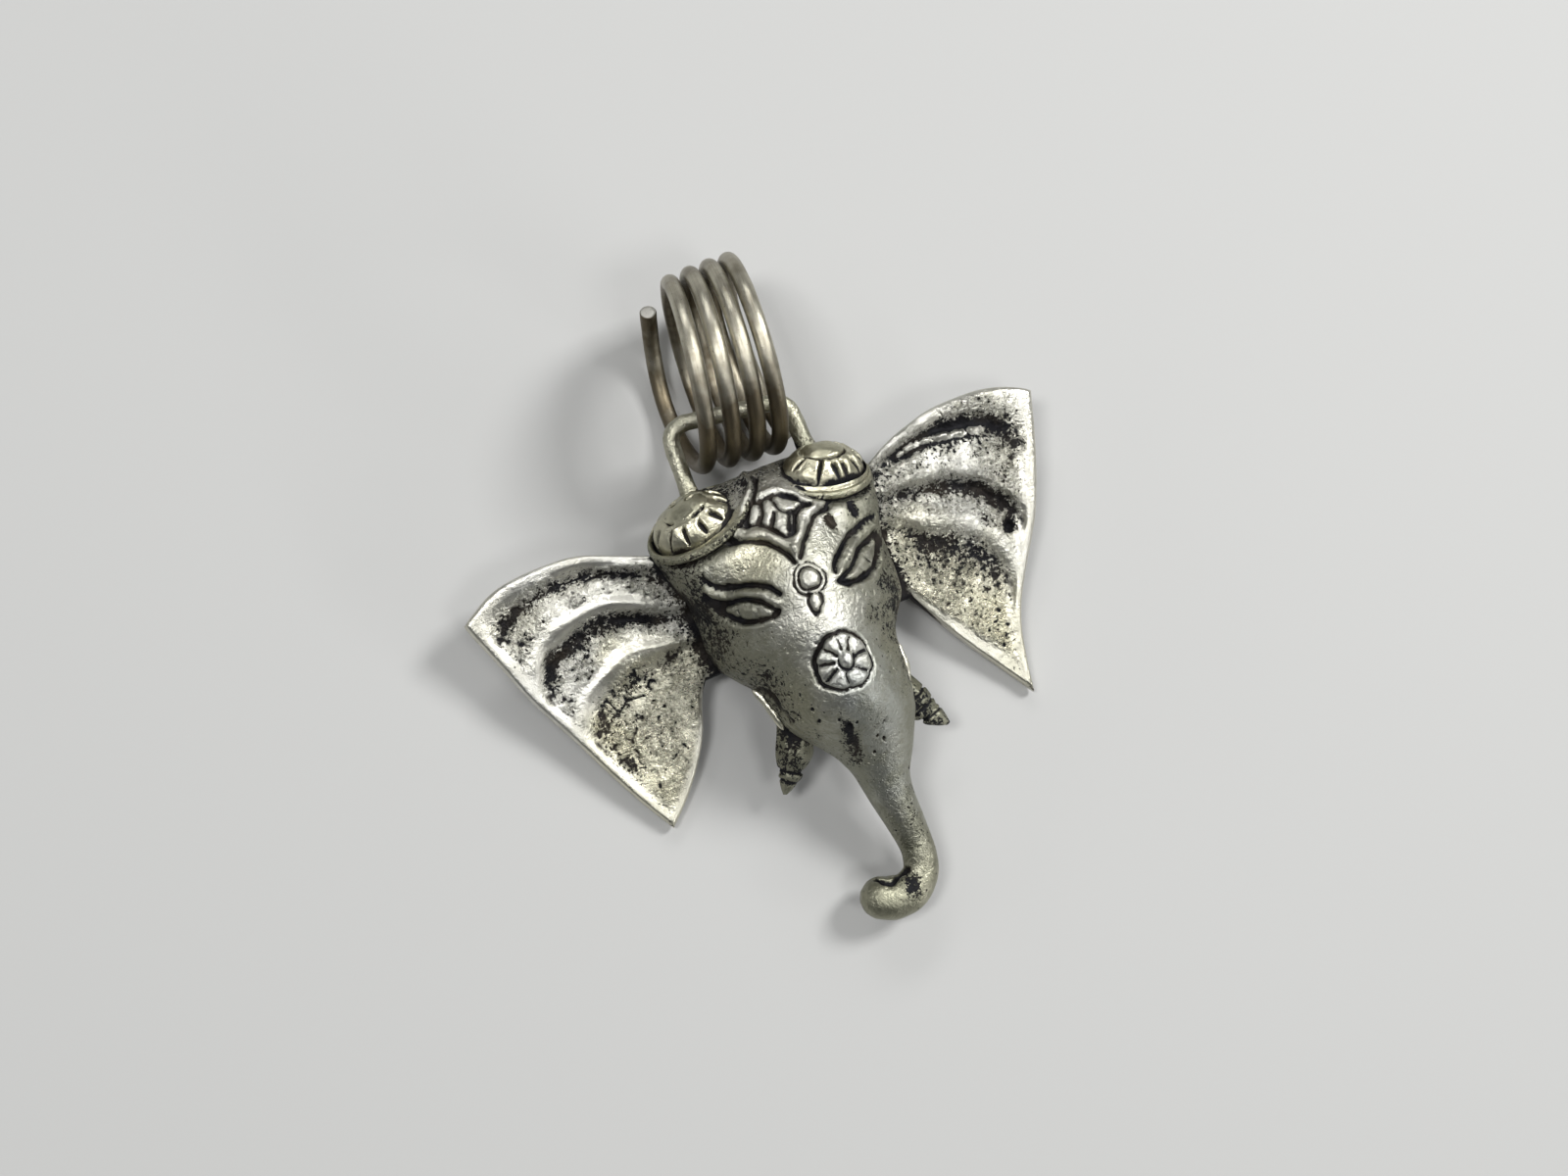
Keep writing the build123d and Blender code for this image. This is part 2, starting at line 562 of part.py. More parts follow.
def boss(side):
    """One domed boss on the crown, petals round it and a rolled rim."""
    facing = unit(np.array(BOSS_FACING) * [side, 1, 1])
    first = np.array(BOSS_LENGTH_AXIS) * [side, 1, 1]
    first = unit(first - (first @ facing) * facing)
    second = np.cross(facing, first)
    crownwards = unit(np.array([0, 1, 0]) - facing[1] * facing)
    x, y = on_face(*BOSS_CENTRE, side)
    centre = np.array([x, y, crown_height(x, y)]) + BOSS_SEAT * BOSS_RISE * facing
    angle = np.linspace(0, 2 * math.pi, 4 * BOSS_PETALS, endpoint=False)
    petal = 0.5 + 0.5 * np.cos(BOSS_PETALS * angle)
    rings = []
    for radius, height, share in BOSS_PROFILE:
        across = radius * BOSS_LENGTH / 2 * np.cos(angle)
        along = radius * BOSS_WIDTH / 2 * np.sin(angle)
        up = BOSS_RISE * (height + share * (petal - 0.5))
        middle = centre + BOSS_LEAN * max(height, 0) * crownwards
        rings.append(middle + across[:, None] * first + along[:, None] * second
                     + up[:, None] * facing)
    return tube_solid(np.array(rings))


def tusk(side):
    """One short faceted tusk with a ring groove near its tip."""
    aside, along, height = TUSK_BASE
    aim = unit(TUSK_AIM[side])
    centre = head_measures(along * HEAD_LENGTH)[0]
    x = centre + side * aside * HEAD_WIDTH / 2
    base = np.array([x, along * HEAD_LENGTH, height * HEAD_DEPTH])
    across = unit(np.cross(aim, (0, 0, 1)))
    up = np.cross(across, aim)
    rings = []
    angle = (np.arange(TUSK_SIDES) + 0.5) * 2 * math.pi / TUSK_SIDES
    for reach, size, inwards in TUSK_ROWS:
        shift = np.array([-side * inwards * TUSK_WIDTH / 2, 0, 0])
        middle = base + reach * TUSK_LENGTH * aim + shift
        rings.append(middle + (np.cos(angle) * size * TUSK_WIDTH / 2)[:, None] * across
                     + (np.sin(angle) * size * TUSK_THICKNESS / 2)[:, None] * up)
    return tube_solid(np.array(rings))


CROWN_Y = HEAD_ROWS[0][0] * HEAD_LENGTH
BAR_MIDDLE = np.array([BAR_ASIDE, CROWN_Y + LOOP_REACH, COIL_OUTER / 2 + BAR_RISE])


def suspension_loop():
    """The wire loop soldered to the crown: two legs and a slanting bar."""
    slant = math.radians(LOOP_SLANT)
    half_bar = LOOP_WIDTH / 2 * np.array([math.cos(slant), -math.sin(slant), 0])
    left, right = BAR_MIDDLE - half_bar, BAR_MIDDLE + half_bar
    foot_y = CROWN_Y - LOOP_GRIP
    left_foot = (left[0] - LOOP_SPLAY, foot_y, left[2] - LOOP_DROP)
    right_foot = (right[0] + LOOP_SPLAY, foot_y, right[2] - LOOP_DROP)
    path = FilletPolyline(left_foot, tuple(left), tuple(right), right_foot, radius=LOOP_CORNER)
    start = Plane(origin=path @ 0, z_dir=path % 0)
    return sweep(start * Circle(LOOP_WIRE / 2), path=path)


def tube_along(line, radius):
    """Round wire along a line of points, its sections square to the line."""
    tangent = np.gradient(line, axis=0)
    tangent /= np.linalg.norm(tangent, axis=1)[:, None]
    angle = np.linspace(0, 2 * math.pi, WIRE_SIDES, endpoint=False)
    rings = []
    for point, t in zip(line, tangent):
        radial = point - COIL_CENTRE
        radial = unit(radial - (radial @ COIL_AXIS) * COIL_AXIS)
        first = unit(radial - (radial @ t) * t)
        second = np.cross(t, first)
        circle = np.cos(angle)[:, None] * first + np.sin(angle)[:, None] * second
        rings.append(point + radius * circle)
    return tube_solid(np.array(rings))


COIL_TILT = math.radians(COIL_SLANT)
COIL_AXIS = np.array([math.cos(COIL_TILT), -math.sin(COIL_TILT), 0])
COIL_OUTWARDS = np.array([math.sin(COIL_TILT), math.cos(COIL_TILT), 0])
COIL_CENTRE = np.array([
    BAR_MIDDLE[0],
    CROWN_Y + COIL_CLEARANCE + COIL_OUTER / 2 + 2 * COIL_PITCH * math.sin(COIL_TILT),
    COIL_OUTER / 2,
])


def coil_bail():
    """The loose bail: a coil of thick wire that stands on the rest plane."""
    first, last = COIL_ROWS[0][0], COIL_ROWS[-1][0]
    count = int((last - first) * COIL_STEPS_PER_TURN) + 1
    turns = np.linspace(first, last, count)
    angle = math.pi - 2 * math.pi * turns
    outwards = np.cos(angle)
    along = COIL_SHIFT + (turns + smooth(COIL_ROWS, 1, turns)) * COIL_PITCH
    along = along * (1 - COIL_FAN * outwards) + COIL_LEAN * outwards
    radius = smooth(COIL_ROWS, 2, turns) * (COIL_OUTER - COIL_WIRE) / 2
    line = (COIL_CENTRE + along[:, None] * COIL_AXIS
            + (radius * outwards)[:, None] * COIL_OUTWARDS
            + (radius * np.sin(angle))[:, None] * np.array([0, 0, 1]))
    return tube_along(line, COIL_WIRE / 2)


def casting():
    """The soldered casting as one solid."""
    pieces = [suspension_loop(), *face_relief()]
    for side in (-1, 1):
        pieces += [ear(side), boss(side), tusk(side)]
    body = head_and_trunk().fuse(*pieces) - hollow()
    return body.solids().sort_by(SortBy.VOLUME)[-1]


def main():
    os.makedirs("parts", exist_ok=True)
    cast, coil = casting(), coil_bail()
    box = Compound([cast, coil]).bounding_box()
    origin = Location((-(box.min.X + box.max.X) / 2, -(box.min.Y + box.max.Y) / 2, -box.min.Z))
    print("origin shift", origin.position, "box", box.size)
    for name, solid in (("cast_head", cast), ("coil_bail", coil)):
        export_step(solid.moved(origin), f"parts/{name}.step")
        print(name, "volume", round(solid.volume, 1), "faces", len(solid.faces()), solid.is_valid)


main()
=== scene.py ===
import math

import bpy
import numpy as np
from mathutils import Matrix, kdtree


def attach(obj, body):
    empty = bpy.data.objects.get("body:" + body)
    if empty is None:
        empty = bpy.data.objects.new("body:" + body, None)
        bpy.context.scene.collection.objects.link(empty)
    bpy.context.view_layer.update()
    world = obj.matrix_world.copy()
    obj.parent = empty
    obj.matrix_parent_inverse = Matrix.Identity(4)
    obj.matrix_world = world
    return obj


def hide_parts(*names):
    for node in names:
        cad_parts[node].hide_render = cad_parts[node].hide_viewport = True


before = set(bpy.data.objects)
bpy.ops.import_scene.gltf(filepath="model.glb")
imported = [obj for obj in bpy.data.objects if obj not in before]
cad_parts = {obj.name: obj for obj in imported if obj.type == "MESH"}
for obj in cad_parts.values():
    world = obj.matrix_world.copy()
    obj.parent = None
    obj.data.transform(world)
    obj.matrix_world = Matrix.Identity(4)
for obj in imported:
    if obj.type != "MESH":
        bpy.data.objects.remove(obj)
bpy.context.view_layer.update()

MM = 0.001
ORIGIN = np.array([0.165, 0.0622, 0.0])  # the bindi's place in the frame's plan

# Head
HEAD_WIDTH = 18.6
HEAD_LENGTH = 25.6
HEAD_DEPTH = 15.5
SHELL_WALL = 1.7
TRUNK_LENGTH = 12.4
TRUNK_THICKNESS = 5.3
TRUNK_ROOT_HEIGHT = 8.9
NECK_ALONG = -0.60
NECK_SHARE = 0.35
FACE_PEAK = 1.5
BACK_SQUARENESS = 0.45
HOLLOW_RIDGE_WALLS = 1.5
HOLLOW_RUN_OUT = 0.30
HOLLOW_LOW_CEILING = 0.35
HOLLOW_SPRING = 0.8

# Ears
EAR_REACH = 16.5
EAR_HEIGHT = 24.0
EAR_LIFT = 5.8
EAR_WALL = 1.35
EAR_FOLD_DEPTH = 1.15
EAR_FOLD_THROUGH = 0.75
EAR_ROOT_GRIP = 2.0
EAR_EDGE_ROUND = 0.45
EAR_EDGE_SOFT = 0.07  # share of an edge over which its corners are rounded

# Tusks and loop
TUSK_LENGTH = 6.3
TUSK_WIDTH = 3.1
TUSK_THICKNESS = 1.9
LOOP_WIRE = 1.3
LOOP_WIDTH = 10.1
LOOP_REACH = 5.1
LOOP_SLANT = 9.0
LOOP_CORNER = 1.6
LOOP_GRIP = 1.6
LOOP_SPLAY = 0.25
LOOP_DROP = 1.2
BAR_ASIDE = 0.1
BAR_RISE = 0.4

# Coil
COIL_WIRE = 1.4
COIL_OUTER = 16.9
COIL_PITCH = 1.84
COIL_CLEARANCE = 0.5
COIL_SHIFT = -2.05
COIL_SLANT = 3.5
COIL_LEAN = 0.36
COIL_FAN = 0.07

# Fineness of the meshes
GRID = 0.13  # spacing of the points that carry relief
FRONT_POINTS = int(30 / GRID)  # round the front of a ring, whose skin is about 30 mm long
BACK_POINTS = 44
CASTING_TRIANGLES = 190000
NECK_SMOOTHINGS = 30
MARK_SMOOTHINGS = 3
RELIEF_SMOOTHINGS = (4, 24, 120)  # for fine, middle and coarse relief
WIRE_SIDES = 28
COIL_STEPS_PER_TURN = 100

# Head stations. Columns: along, aside, half width, crown, widest, back (shares, as in the solid).
HEAD_ROWS = [
    (0.404, 0.0, 0.56, 0.57, 0.42, 0.1),
    (0.397, 0.0, 0.75, 0.63, 0.41, 0.045),
    (0.375, 0.0, 0.88, 0.69, 0.4, 0.01),
    (0.336, 0.0, 0.97, 0.76, 0.39, 0.0),
    (0.273, 0.0, 1.0, 0.85, 0.37, 0.0),
    (0.176, 0.0, 0.96, 0.93, 0.36, 0.012),
    (0.078, 0.0, 0.91, 0.98, 0.35, 0.03),
    (-0.02, 0.0, 0.91, 1.0, 0.34, 0.05),
    (-0.117, 0.0, 0.88, 0.995, 0.33, 0.08),
    (-0.176, 0.0, 0.78, 0.985, 0.35, 0.12),
    (-0.234, 0.0, 0.67, 0.975, 0.4, 0.18),
    (-0.312, 0.005, 0.61, 0.96, 0.45, 0.245),
    (-0.391, 0.013, 0.57, 0.91, 0.47, 0.285),
    (-0.469, 0.043, 0.475, 0.8, 0.46, 0.29),
    (-0.531, 0.062, 0.37, 0.68, 0.425, 0.27),
]
# Trunk stations. Columns: along, aside, heading, half width, centre height (shares, degrees).
TRUNK_ROWS = [
    (0.0, 0.089, -92, 1.0, 1.0),
    (0.145, 0.069, -90, 0.76, 0.9),
    (0.306, 0.081, -86, 0.65, 0.77),
    (0.468, 0.103, -85, 0.585, 0.64),
    (0.613, 0.113, -92, 0.54, 0.54),
    (0.734, 0.093, -114, 0.55, 0.49),
    (0.823, 0.028, -146, 0.6, 0.465),
    (0.867, -0.065, -172, 0.65, 0.46),
    (0.863, -0.161, -188, 0.68, 0.47),
    (0.827, -0.25, -203, 0.66, 0.49),
    (0.79, -0.323, -208, 0.49, 0.5),
    (0.772, -0.363, -208, 0.2, 0.505),
]
# Ear outlines. Columns: out, up, lift (shares of the reach, the height and the lift).
EAR_TOP_EDGE = {
    -1: [(0.0, 0.292, 1.0), (0.22, 0.357, 1.0), (0.4, 0.403, 0.99), (0.6, 0.41, 0.95),
         (0.78, 0.402, 0.87), (0.9, 0.368, 0.79), (1.0, 0.326, 0.72)],
    1: [(0.0, 0.305, 1.0), (0.18, 0.367, 1.0), (0.31, 0.392, 1.0), (0.44, 0.413, 0.99),
        (0.66, 0.415, 0.92), (0.87, 0.386, 0.81), (0.98, 0.345, 0.72)],
}
EAR_OUTER_EDGE = {
    -1: [(1.0, 0.326, 0.72), (0.985, 0.285, 0.69), (0.925, 0.18, 0.59), (0.845, 0.016, 0.45),
         (0.735, -0.14, 0.3), (0.625, -0.308, 0.17), (0.51, -0.471, 0.06),
         (0.425, -0.572, 0.0)],
    1: [(0.98, 0.345, 0.72), (0.905, 0.172, 0.6), (0.855, 0.076, 0.53), (0.755, -0.079, 0.42),
        (0.65, -0.19, 0.33), (0.565, -0.284, 0.25), (0.5, -0.375, 0.17),
        (0.465, -0.475, 0.09), (0.425, -0.632, 0.0)],
}
EAR_INNER_EDGE = {
    -1: [(0.0, -0.15, 0.34), (0.05, -0.198, 0.31), (0.105, -0.305, 0.23), (0.21, -0.419, 0.11),
         (0.31, -0.499, 0.04), (0.425, -0.572, 0.0)],
    1: [(0.0, -0.16, 0.34), (0.07, -0.245, 0.28), (0.17, -0.367, 0.19), (0.31, -0.51, 0.07),
        (0.425, -0.632, 0.0)],
}
# Fold crests across an ear. Columns: share from the root outwards, place of each crest.
EAR_CRESTS = {
    -1: [(0.0, 0.4, 0.68), (0.28, 0.3, 0.55), (0.5, 0.26, 0.495), (0.75, 0.265, 0.505),
         (1.0, 0.38, 0.6)],
    1: [(0.0, 0.22, 0.42), (0.3, 0.25, 0.465), (0.55, 0.285, 0.48), (0.8, 0.345, 0.53),
        (1.0, 0.42, 0.62)],
}
# Section of an ear. Columns: place (whole numbers are the edges and crests), depth share.
EAR_SECTION = [
    (0.0, 0.06), (0.06, 0.0), (0.17, 0.0), (0.27, 0.5), (0.38, 0.85), (0.52, 0.55),
    (0.7, 0.22), (1.0, 0.0), (1.14, 0.62), (1.27, 1.0), (1.42, 0.72), (1.65, 0.3),
    (2.0, 0.0), (2.08, 0.55), (2.17, 0.8), (2.32, 0.55), (2.55, 0.28), (2.8, 0.06),
    (3.0, 0.0),
]
# Fading of the folds across an ear. Columns: share from the root, depth share.
EAR_FADE = [
    (0.0, 0.35), (0.06, 0.5), (0.13, 0.75), (0.21, 1.0), (0.79, 1.0), (0.86, 0.8),
    (0.92, 0.4), (0.965, 0.0), (1.0, 0.05),
]
# Polished bands of an ear, from place to place: its rim and its crests
EAR_POLISHED = {
    -1: [(-0.1, 0.17), (0.84, 1.08), (1.82, 2.04)],
    1: [(-0.1, 0.03), (1.86, 2.04)],
}
EAR_RIM = {-1: 1.0, 1: 1.2}  # width of the polished outer edge
EAR_LOWER_RIM = {-1: (1.2, 0.5), 1: (2.5, 1.5)}  # where the polish along the inner edge fades
EAR_CREST_SHARE = {-1: 1.0, 1: 0.45}  # how far the crests stand out and are polished
EAR_PATCH = {-1: (18.0, -7.8), 1: (17.6, -1.0)}  # a dark patch near the outer edge
EAR_TIP_CRUD = {-1: (16.6, -13.5), 1: (16.2, -15.0)}  # dark crud at the lower tip
# Bosses. Columns: middle of the rim, facing, long axis, half length, half width (mm).
BOSSES = {
    -1: ((-5.6, 7.85, 9.9), (-0.3, 0.72, 0.62), (-0.86, -0.06, -0.5), 4.75, 3.9),
    1: ((5.16, 7.57, 10.22), (0.22, 0.76, 0.6), (0.96, -0.26, -0.1), 3.95, 3.6),
}
BOSS_GROOVE = {-1: (0.77, 0.08, 0.02), 1: (0.76, 0.0, 0.12)}  # its share: base, tilt, widening
BOSS_GRIME = {-1: 1.0, 1: 0.45}  # how dark and rough its rim is
BOSS_GROOVE_AT = 0.79  # where the profiles below have that groove
BOSS_FRONT = {-1: 85, 1: 279}  # the place that faces the viewer (degrees)
# Slots cut in a boss. Columns: place (degrees), from and to (shares of the radius).
BOSS_SLOTS = {
    -1: [(22, 0.52, 0.73), (54, 0.49, 0.76), (81, 0.49, 0.73), (112, 0.52, 0.72),
         (143, 0.52, 0.73), (183, 0.55, 0.73), (214, 0.54, 0.72), (278, 0.53, 0.72),
         (345, 0.52, 0.72), (240, 0.1, 0.34), (322, 0.14, 0.36)],
    1: [(18, 0.52, 0.72), (65, 0.54, 0.73), (110, 0.52, 0.72), (152, 0.55, 0.73),
        (204, 0.44, 0.68), (251, 0.42, 0.77), (282, 0.49, 0.77), (301, 0.52, 0.77),
        (325, 0.55, 0.77), (350, 0.55, 0.76)],
}
# Profiles of the bosses from the foot to the middle. Columns: radius (share), height (mm).
BOSS_FOOT = [(0.74, -2.6), (0.8, -1.3), (0.88, -0.66), (0.96, -0.42), (1.0, -0.18)]
BOSS_PROFILE = {
    -1: [(0.99, 0.06), (0.95, 0.26), (0.89, 0.36), (0.83, 0.3), (0.79, 0.02), (0.765, 0.14),
         (0.735, 0.44), (0.68, 0.88), (0.62, 1.22), (0.55, 1.5), (0.48, 1.72), (0.42, 1.88),
         (0.32, 2.12), (0.18, 2.34), (0.02, 2.42)],
    1: [(0.995, 0.04), (0.965, 0.26), (0.93, 0.3), (0.9, 0.26), (0.87, 0.46), (0.83, 0.68),
        (0.79, 0.66), (0.765, 0.8), (0.735, 1.02), (0.68, 1.34), (0.62, 1.62), (0.55, 1.88),
        (0.48, 2.1), (0.42, 2.27), (0.32, 2.54), (0.18, 2.8), (0.02, 2.9)],
}
TUSK_BASE = (0.55, -0.363, 0.37)
TUSK_AIM = {-1: (-0.33, -0.87, -0.37), 1: (0.41, -0.86, -0.3)}
# Sections of a tusk. Columns: reach, size, inwards (shares).
TUSK_ROWS = [
    (-0.3, 0.6, 0.3), (0.0, 0.78, 0.42), (0.25, 0.92, 0.55), (0.48, 1.0, 0.58),
    (0.68, 0.72, 0.42), (0.72, 0.58, 0.36), (0.76, 0.64, 0.36), (0.92, 0.36, 0.18),
    (1.0, 0.12, 0.04),
]
TUSK_GROOVES = {-1: (0.71, 0.84), 1: (0.42, 0.6, 0.76)}  # places of the rings cut round them
# Lips of the shell above the tusks
LIP_LINE = {
    -1: [(-6.45, -5.9, 7.0), (-5.95, -7.2, 7.0), (-5.65, -8.4, 6.9), (-5.35, -9.9, 6.3)],
    1: [(6.0, -7.0, 6.8), (6.0, -8.4, 6.7), (5.85, -9.6, 6.3), (5.6, -10.6, 5.7)],
}
LIP_WIDTH = 0.62
# Turns of the coil. Columns: turn, offset (share of the pitch), radius (share of the coil's).
COIL_ROWS = [
    (-0.43, -0.1, 0.955), (-0.25, -0.42, 0.96), (0.0, 0.0, 0.955), (1.0, 0.08, 0.975),
    (2.0, 0.1, 0.99), (3.0, 0.05, 1.0), (3.5, 0.0, 1.0), (3.9, 0.0, 1.0),
]

GROOVE_DEPTH = 1.30  # how much deeper and wider the grooves of the table are cut
GROOVE_WIDTH = 1.38
BLACK_DEPTH = 0.36  # a groove as deep as this is all black
# Lines of the face in plan, in millimetres. Columns: height (below 0 it is a groove), half width,
# points.
FACE_LINES = [
    # left eye: crease, edge of the fold, lower outline, lower lid, iris
    (-0.34, 0.14, [(-7.2, 3.1), (-6.6, 2.5), (-5.95, 2.05), (-5.2, 1.8), (-4.4, 1.55), (-3.8, 1.2),
        (-3.3, 0.85), (-2.85, 0.4), (-2.5, -0.2)]),
    (0.3, 0.3, [(-7.3, 2.55), (-6.7, 1.9), (-6.0, 1.45), (-5.3, 1.25), (-4.6, 1.05), (-4.0, 0.65),
        (-3.5, 0.25), (-3.15, -0.25), (-2.85, -0.8)]),
    (-0.34, 0.14, [(-7.45, 2.05), (-6.9, 1.35), (-6.05, 0.85), (-5.4, 0.7), (-4.8, 0.5), (-4.2, 0.1),
        (-3.8, -0.35), (-3.55, -0.8), (-3.1, -1.4)]),
    (0.16, 0.34, [(-6.2, 0.45), (-5.5, 0.0), (-4.8, -0.4), (-4.1, -0.8), (-3.6, -1.15)]),
    (-0.36, 0.15, [(-6.75, 1.0), (-6.6, 0.35), (-6.25, -0.25), (-5.8, -0.8), (-5.3, -1.2),
        (-4.75, -1.45), (-4.25, -1.55), (-3.65, -1.55), (-3.15, -1.45)]),
    (0.14, 0.24, [(-7.2, 1.1), (-6.85, -0.2), (-6.35, -0.95), (-5.45, -1.6), (-4.6, -1.85),
        (-3.85, -1.85)]),
    (-0.12, 0.09, [(-5.45, 0.1), (-5.75, -0.45)]),
    (-0.12, 0.09, [(-4.4, -0.55), (-4.55, -1.2)]),
    # right eye: crease, fold, edge of the fold, eyeball, lower outline, lower lid, iris
    (-0.34, 0.14, [(7.3, 2.75), (6.35, 2.6), (5.6, 2.4), (4.65, 2.05), (3.9, 1.55), (3.3, 1.05),
        (2.9, 0.7), (2.45, 0.15), (2.3, -0.3)]),
    (0.3, 0.32, [(7.2, 2.2), (6.25, 1.95), (5.45, 1.7), (4.75, 1.3), (4.15, 0.85), (3.6, 0.35),
        (3.05, 0.0), (2.3, -0.65)]),
    (-0.34, 0.14, [(7.1, 1.7), (6.15, 1.3), (5.35, 0.95), (4.85, 0.6), (4.4, 0.15), (3.9, -0.3),
        (3.3, -0.6), (2.2, -1.0)]),
    (0.16, 0.34, [(6.5, 1.0), (5.8, 0.5), (5.1, 0.0), (4.4, -0.55), (3.5, -1.0)]),
    (-0.38, 0.16, [(7.25, 1.55), (7.15, 0.9), (6.75, 0.2), (6.15, -0.5), (5.35, -1.0), (4.55, -1.4),
        (3.8, -1.55), (3.0, -1.45), (2.35, -1.15)]),
    (0.14, 0.24, [(7.55, 0.7), (6.85, -0.45), (5.8, -1.3), (4.5, -1.9), (3.25, -1.9), (2.3, -1.6)]),
    (-0.12, 0.09, [(5.2, 0.0), (5.55, -0.35)]),
    (-0.12, 0.09, [(4.35, -0.6), (4.65, -1.1)]),
    # drop below the bindi: two sides and the ridge between them
    (-0.26, 0.12, [(-0.5, -1.2), (-0.7, -1.75), (-0.75, -2.45), (-0.6, -2.7)]),
    (-0.24, 0.11, [(0.4, -1.5), (0.4, -2.05), (0.0, -2.5), (-0.35, -2.75)]),
    (0.16, 0.2, [(-0.1, -1.5), (-0.35, -2.5)]),
    # crown band: lower groove, raised band and upper groove of each arm
    (-0.34, 0.15, [(-4.3, 5.1), (-3.25, 4.75), (-2.25, 4.2), (-1.4, 3.35), (-0.75, 2.5), (-0.45, 1.6)]),
    (0.22, 0.42, [(-3.5, 5.45), (-2.4, 5.05), (-1.5, 4.3), (-0.75, 3.35), (-0.2, 2.6)]),
    (-0.3, 0.13, [(-2.65, 5.8), (-1.85, 5.55), (-1.1, 4.9), (-0.5, 4.05), (-0.2, 3.7), (0.3, 3.7),
        (0.95, 4.6), (1.45, 5.3), (2.0, 5.55), (2.8, 5.6)]),
    (0.24, 0.34, [(2.95, 5.2), (2.1, 4.9), (1.35, 4.2), (0.55, 3.3), (0.0, 2.5)]),
    (-0.32, 0.14, [(3.9, 4.8), (3.0, 4.65), (1.9, 3.85), (0.95, 2.85), (0.2, 1.8)]),
    # panels above the band: borders and slots
    (-0.28, 0.12, [(-1.6, 7.4), (-1.0, 7.35), (-0.15, 7.4), (0.2, 6.75), (0.35, 6.0), (0.85, 5.45),
        (1.35, 5.35)]),
    (-0.26, 0.12, [(-1.8, 7.05), (-2.65, 5.8)]),
    (-0.36, 0.15, [(-0.85, 7.0), (-1.15, 6.2), (-1.6, 5.75)]),
    (-0.32, 0.13, [(-0.2, 5.9), (-0.8, 5.15)]),
    (-0.24, 0.11, [(0.68, 5.15), (0.25, 4.1)]),
    (-0.28, 0.13, [(0.1, 7.4), (0.9, 7.35), (1.55, 6.9), (2.1, 6.25), (2.6, 5.65)]),
    (-0.36, 0.16, [(1.1, 7.05), (1.9, 6.5)]),
    (0.24, 0.3, [(-0.55, 10.1), (-0.55, 9.1), (-1.35, 8.05), (-2.0, 7.4), (-2.6, 6.65), (-3.3, 6.0)]),
    (-0.3, 0.14, [(-0.15, 9.4), (-0.85, 8.1), (-1.6, 7.4), (-2.4, 6.6), (-3.0, 6.0)]),
    (0.16, 0.2, [(-0.44, 7.81), (0.31, 7.9), (0.9, 7.9), (1.3, 7.2), (2.15, 6.3), (2.85, 5.7),
        (3.8, 5.2)]),
    # blots and cracks in the casting
    (-0.2, 0.22, [(3.6, 3.9), (3.8, 3.3)]),
    (-0.2, 0.24, [(5.85, 4.2), (6.0, 3.5)]),
    (-0.1, 0.26, [(-1.7, -10.6), (-1.4, -11.8), (-1.2, -12.6), (-1.1, -13.4), (-0.9, -14.4)]),
    # grooves behind the lips of the shell above the tusks
    (-0.26, 0.1, [(-6.0, -6.2), (-5.5, -7.3), (-5.2, -8.4), (-4.9, -9.6)]),
    (-0.26, 0.1, [(5.6, -7.4), (5.5, -8.8), (5.2, -10.2)]),
]
# Dark patches of the head: stains, and two of painted shade. Columns: place, size, soft share of it,
# depth.
FACE_STAINS = [
    ((6.4, -3.4), (2.0, 2.8), 0.8, 0.42), ((4.1, -3.9), (1.5, 2.3), 0.9, 0.42),
    ((-8.0, -1.5), (2.2, 4.0), 0.8, 0.25),
    ((-1.2, -12.5), (1.1, 2.8), 1.0, 0.85), ((0.9, -12.2), (1.8, 1.8), 1.0, 0.46),
    ((3.7, 3.65), (0.55, 0.95), 0.5, 1.2), ((5.85, 3.9), (0.55, 0.95), 0.5, 1.2),
    # painted shade: the patch at the top of the crown under the loop and coil, along with stain, and
    # the one at the bottom of the trunk's curl
    ((0.0, 10.6), (9.0, 2.0), 0.7, 0.6), ((-0.4, -25.8), (1.05, 1.9), 0.8, 1.0),
    ((7.6, 5.4), (1.8, 2.2), 0.8, 0.4), ((-7.8, 5.4), (2.6, 2.2), 0.8, 0.5),
    ((1.9, -20.5), (0.8, 3.5), 0.8, 0.3), ((2.6, -0.7), (0.8, 0.8), 0.7, 0.6),
    ((-8.2, 2.4), (1.8, 2.2), 0.8, 0.44), ((-5.4, -6.5), (1.0, 3.0), 0.8, 0.25),
    ((-0.5, 9.0), (2.4, 1.5), 0.8, 0.45),
]
# The groove across the end of the trunk
MOUTH_LINE = [(-2.9, -23.9), (-2.5, -24.4), (-1.9, -24.8), (-1.3, -24.6), (-0.75, -24.35),
              (-0.15, -24.25)]
# Single pits of the casting on the face. Columns: place, radius, depth.
FACE_PITS = [
    ((-3.4, -9.35), 0.16, 0.26), ((-3.2, -10.4), 0.17, 0.26), ((-1.85, -11.0), 0.13, 0.2),
    ((-1.15, -11.75), 0.22, 0.3), ((0.75, -13.3), 0.13, 0.22), ((1.2, -13.7), 0.15, 0.22),
    ((2.9, -16.7), 0.14, 0.2), ((0.25, -14.4), 0.14, 0.2), ((-0.6, -11.7), 0.12, 0.18),
    ((1.55, -12.4), 0.11, 0.15), ((3.8, 0.3), 0.14, 0.15), ((-1.4, -4.9), 0.13, 0.14),
]

# Camera, fitted to the photograph: tilt to the left, from below, roll (degrees), distance and aim
CAMERA_LEFT = 8.30
CAMERA_BELOW = 4.41
CAMERA_ROLL = 23.18
CAMERA_DISTANCE = 160.0
CAMERA_AIM = (0.17, 1.22, 0.0)
PIXELS_PER_MM = 12.0  # at the plane that the pendant lies on, in a picture 1600 pixels wide
PICTURE_WIDTH = 1600
SENSOR_WIDTH = 36.0
CAMERA_SEES = (0.005, 20.0)  # nearest and farthest, in metres

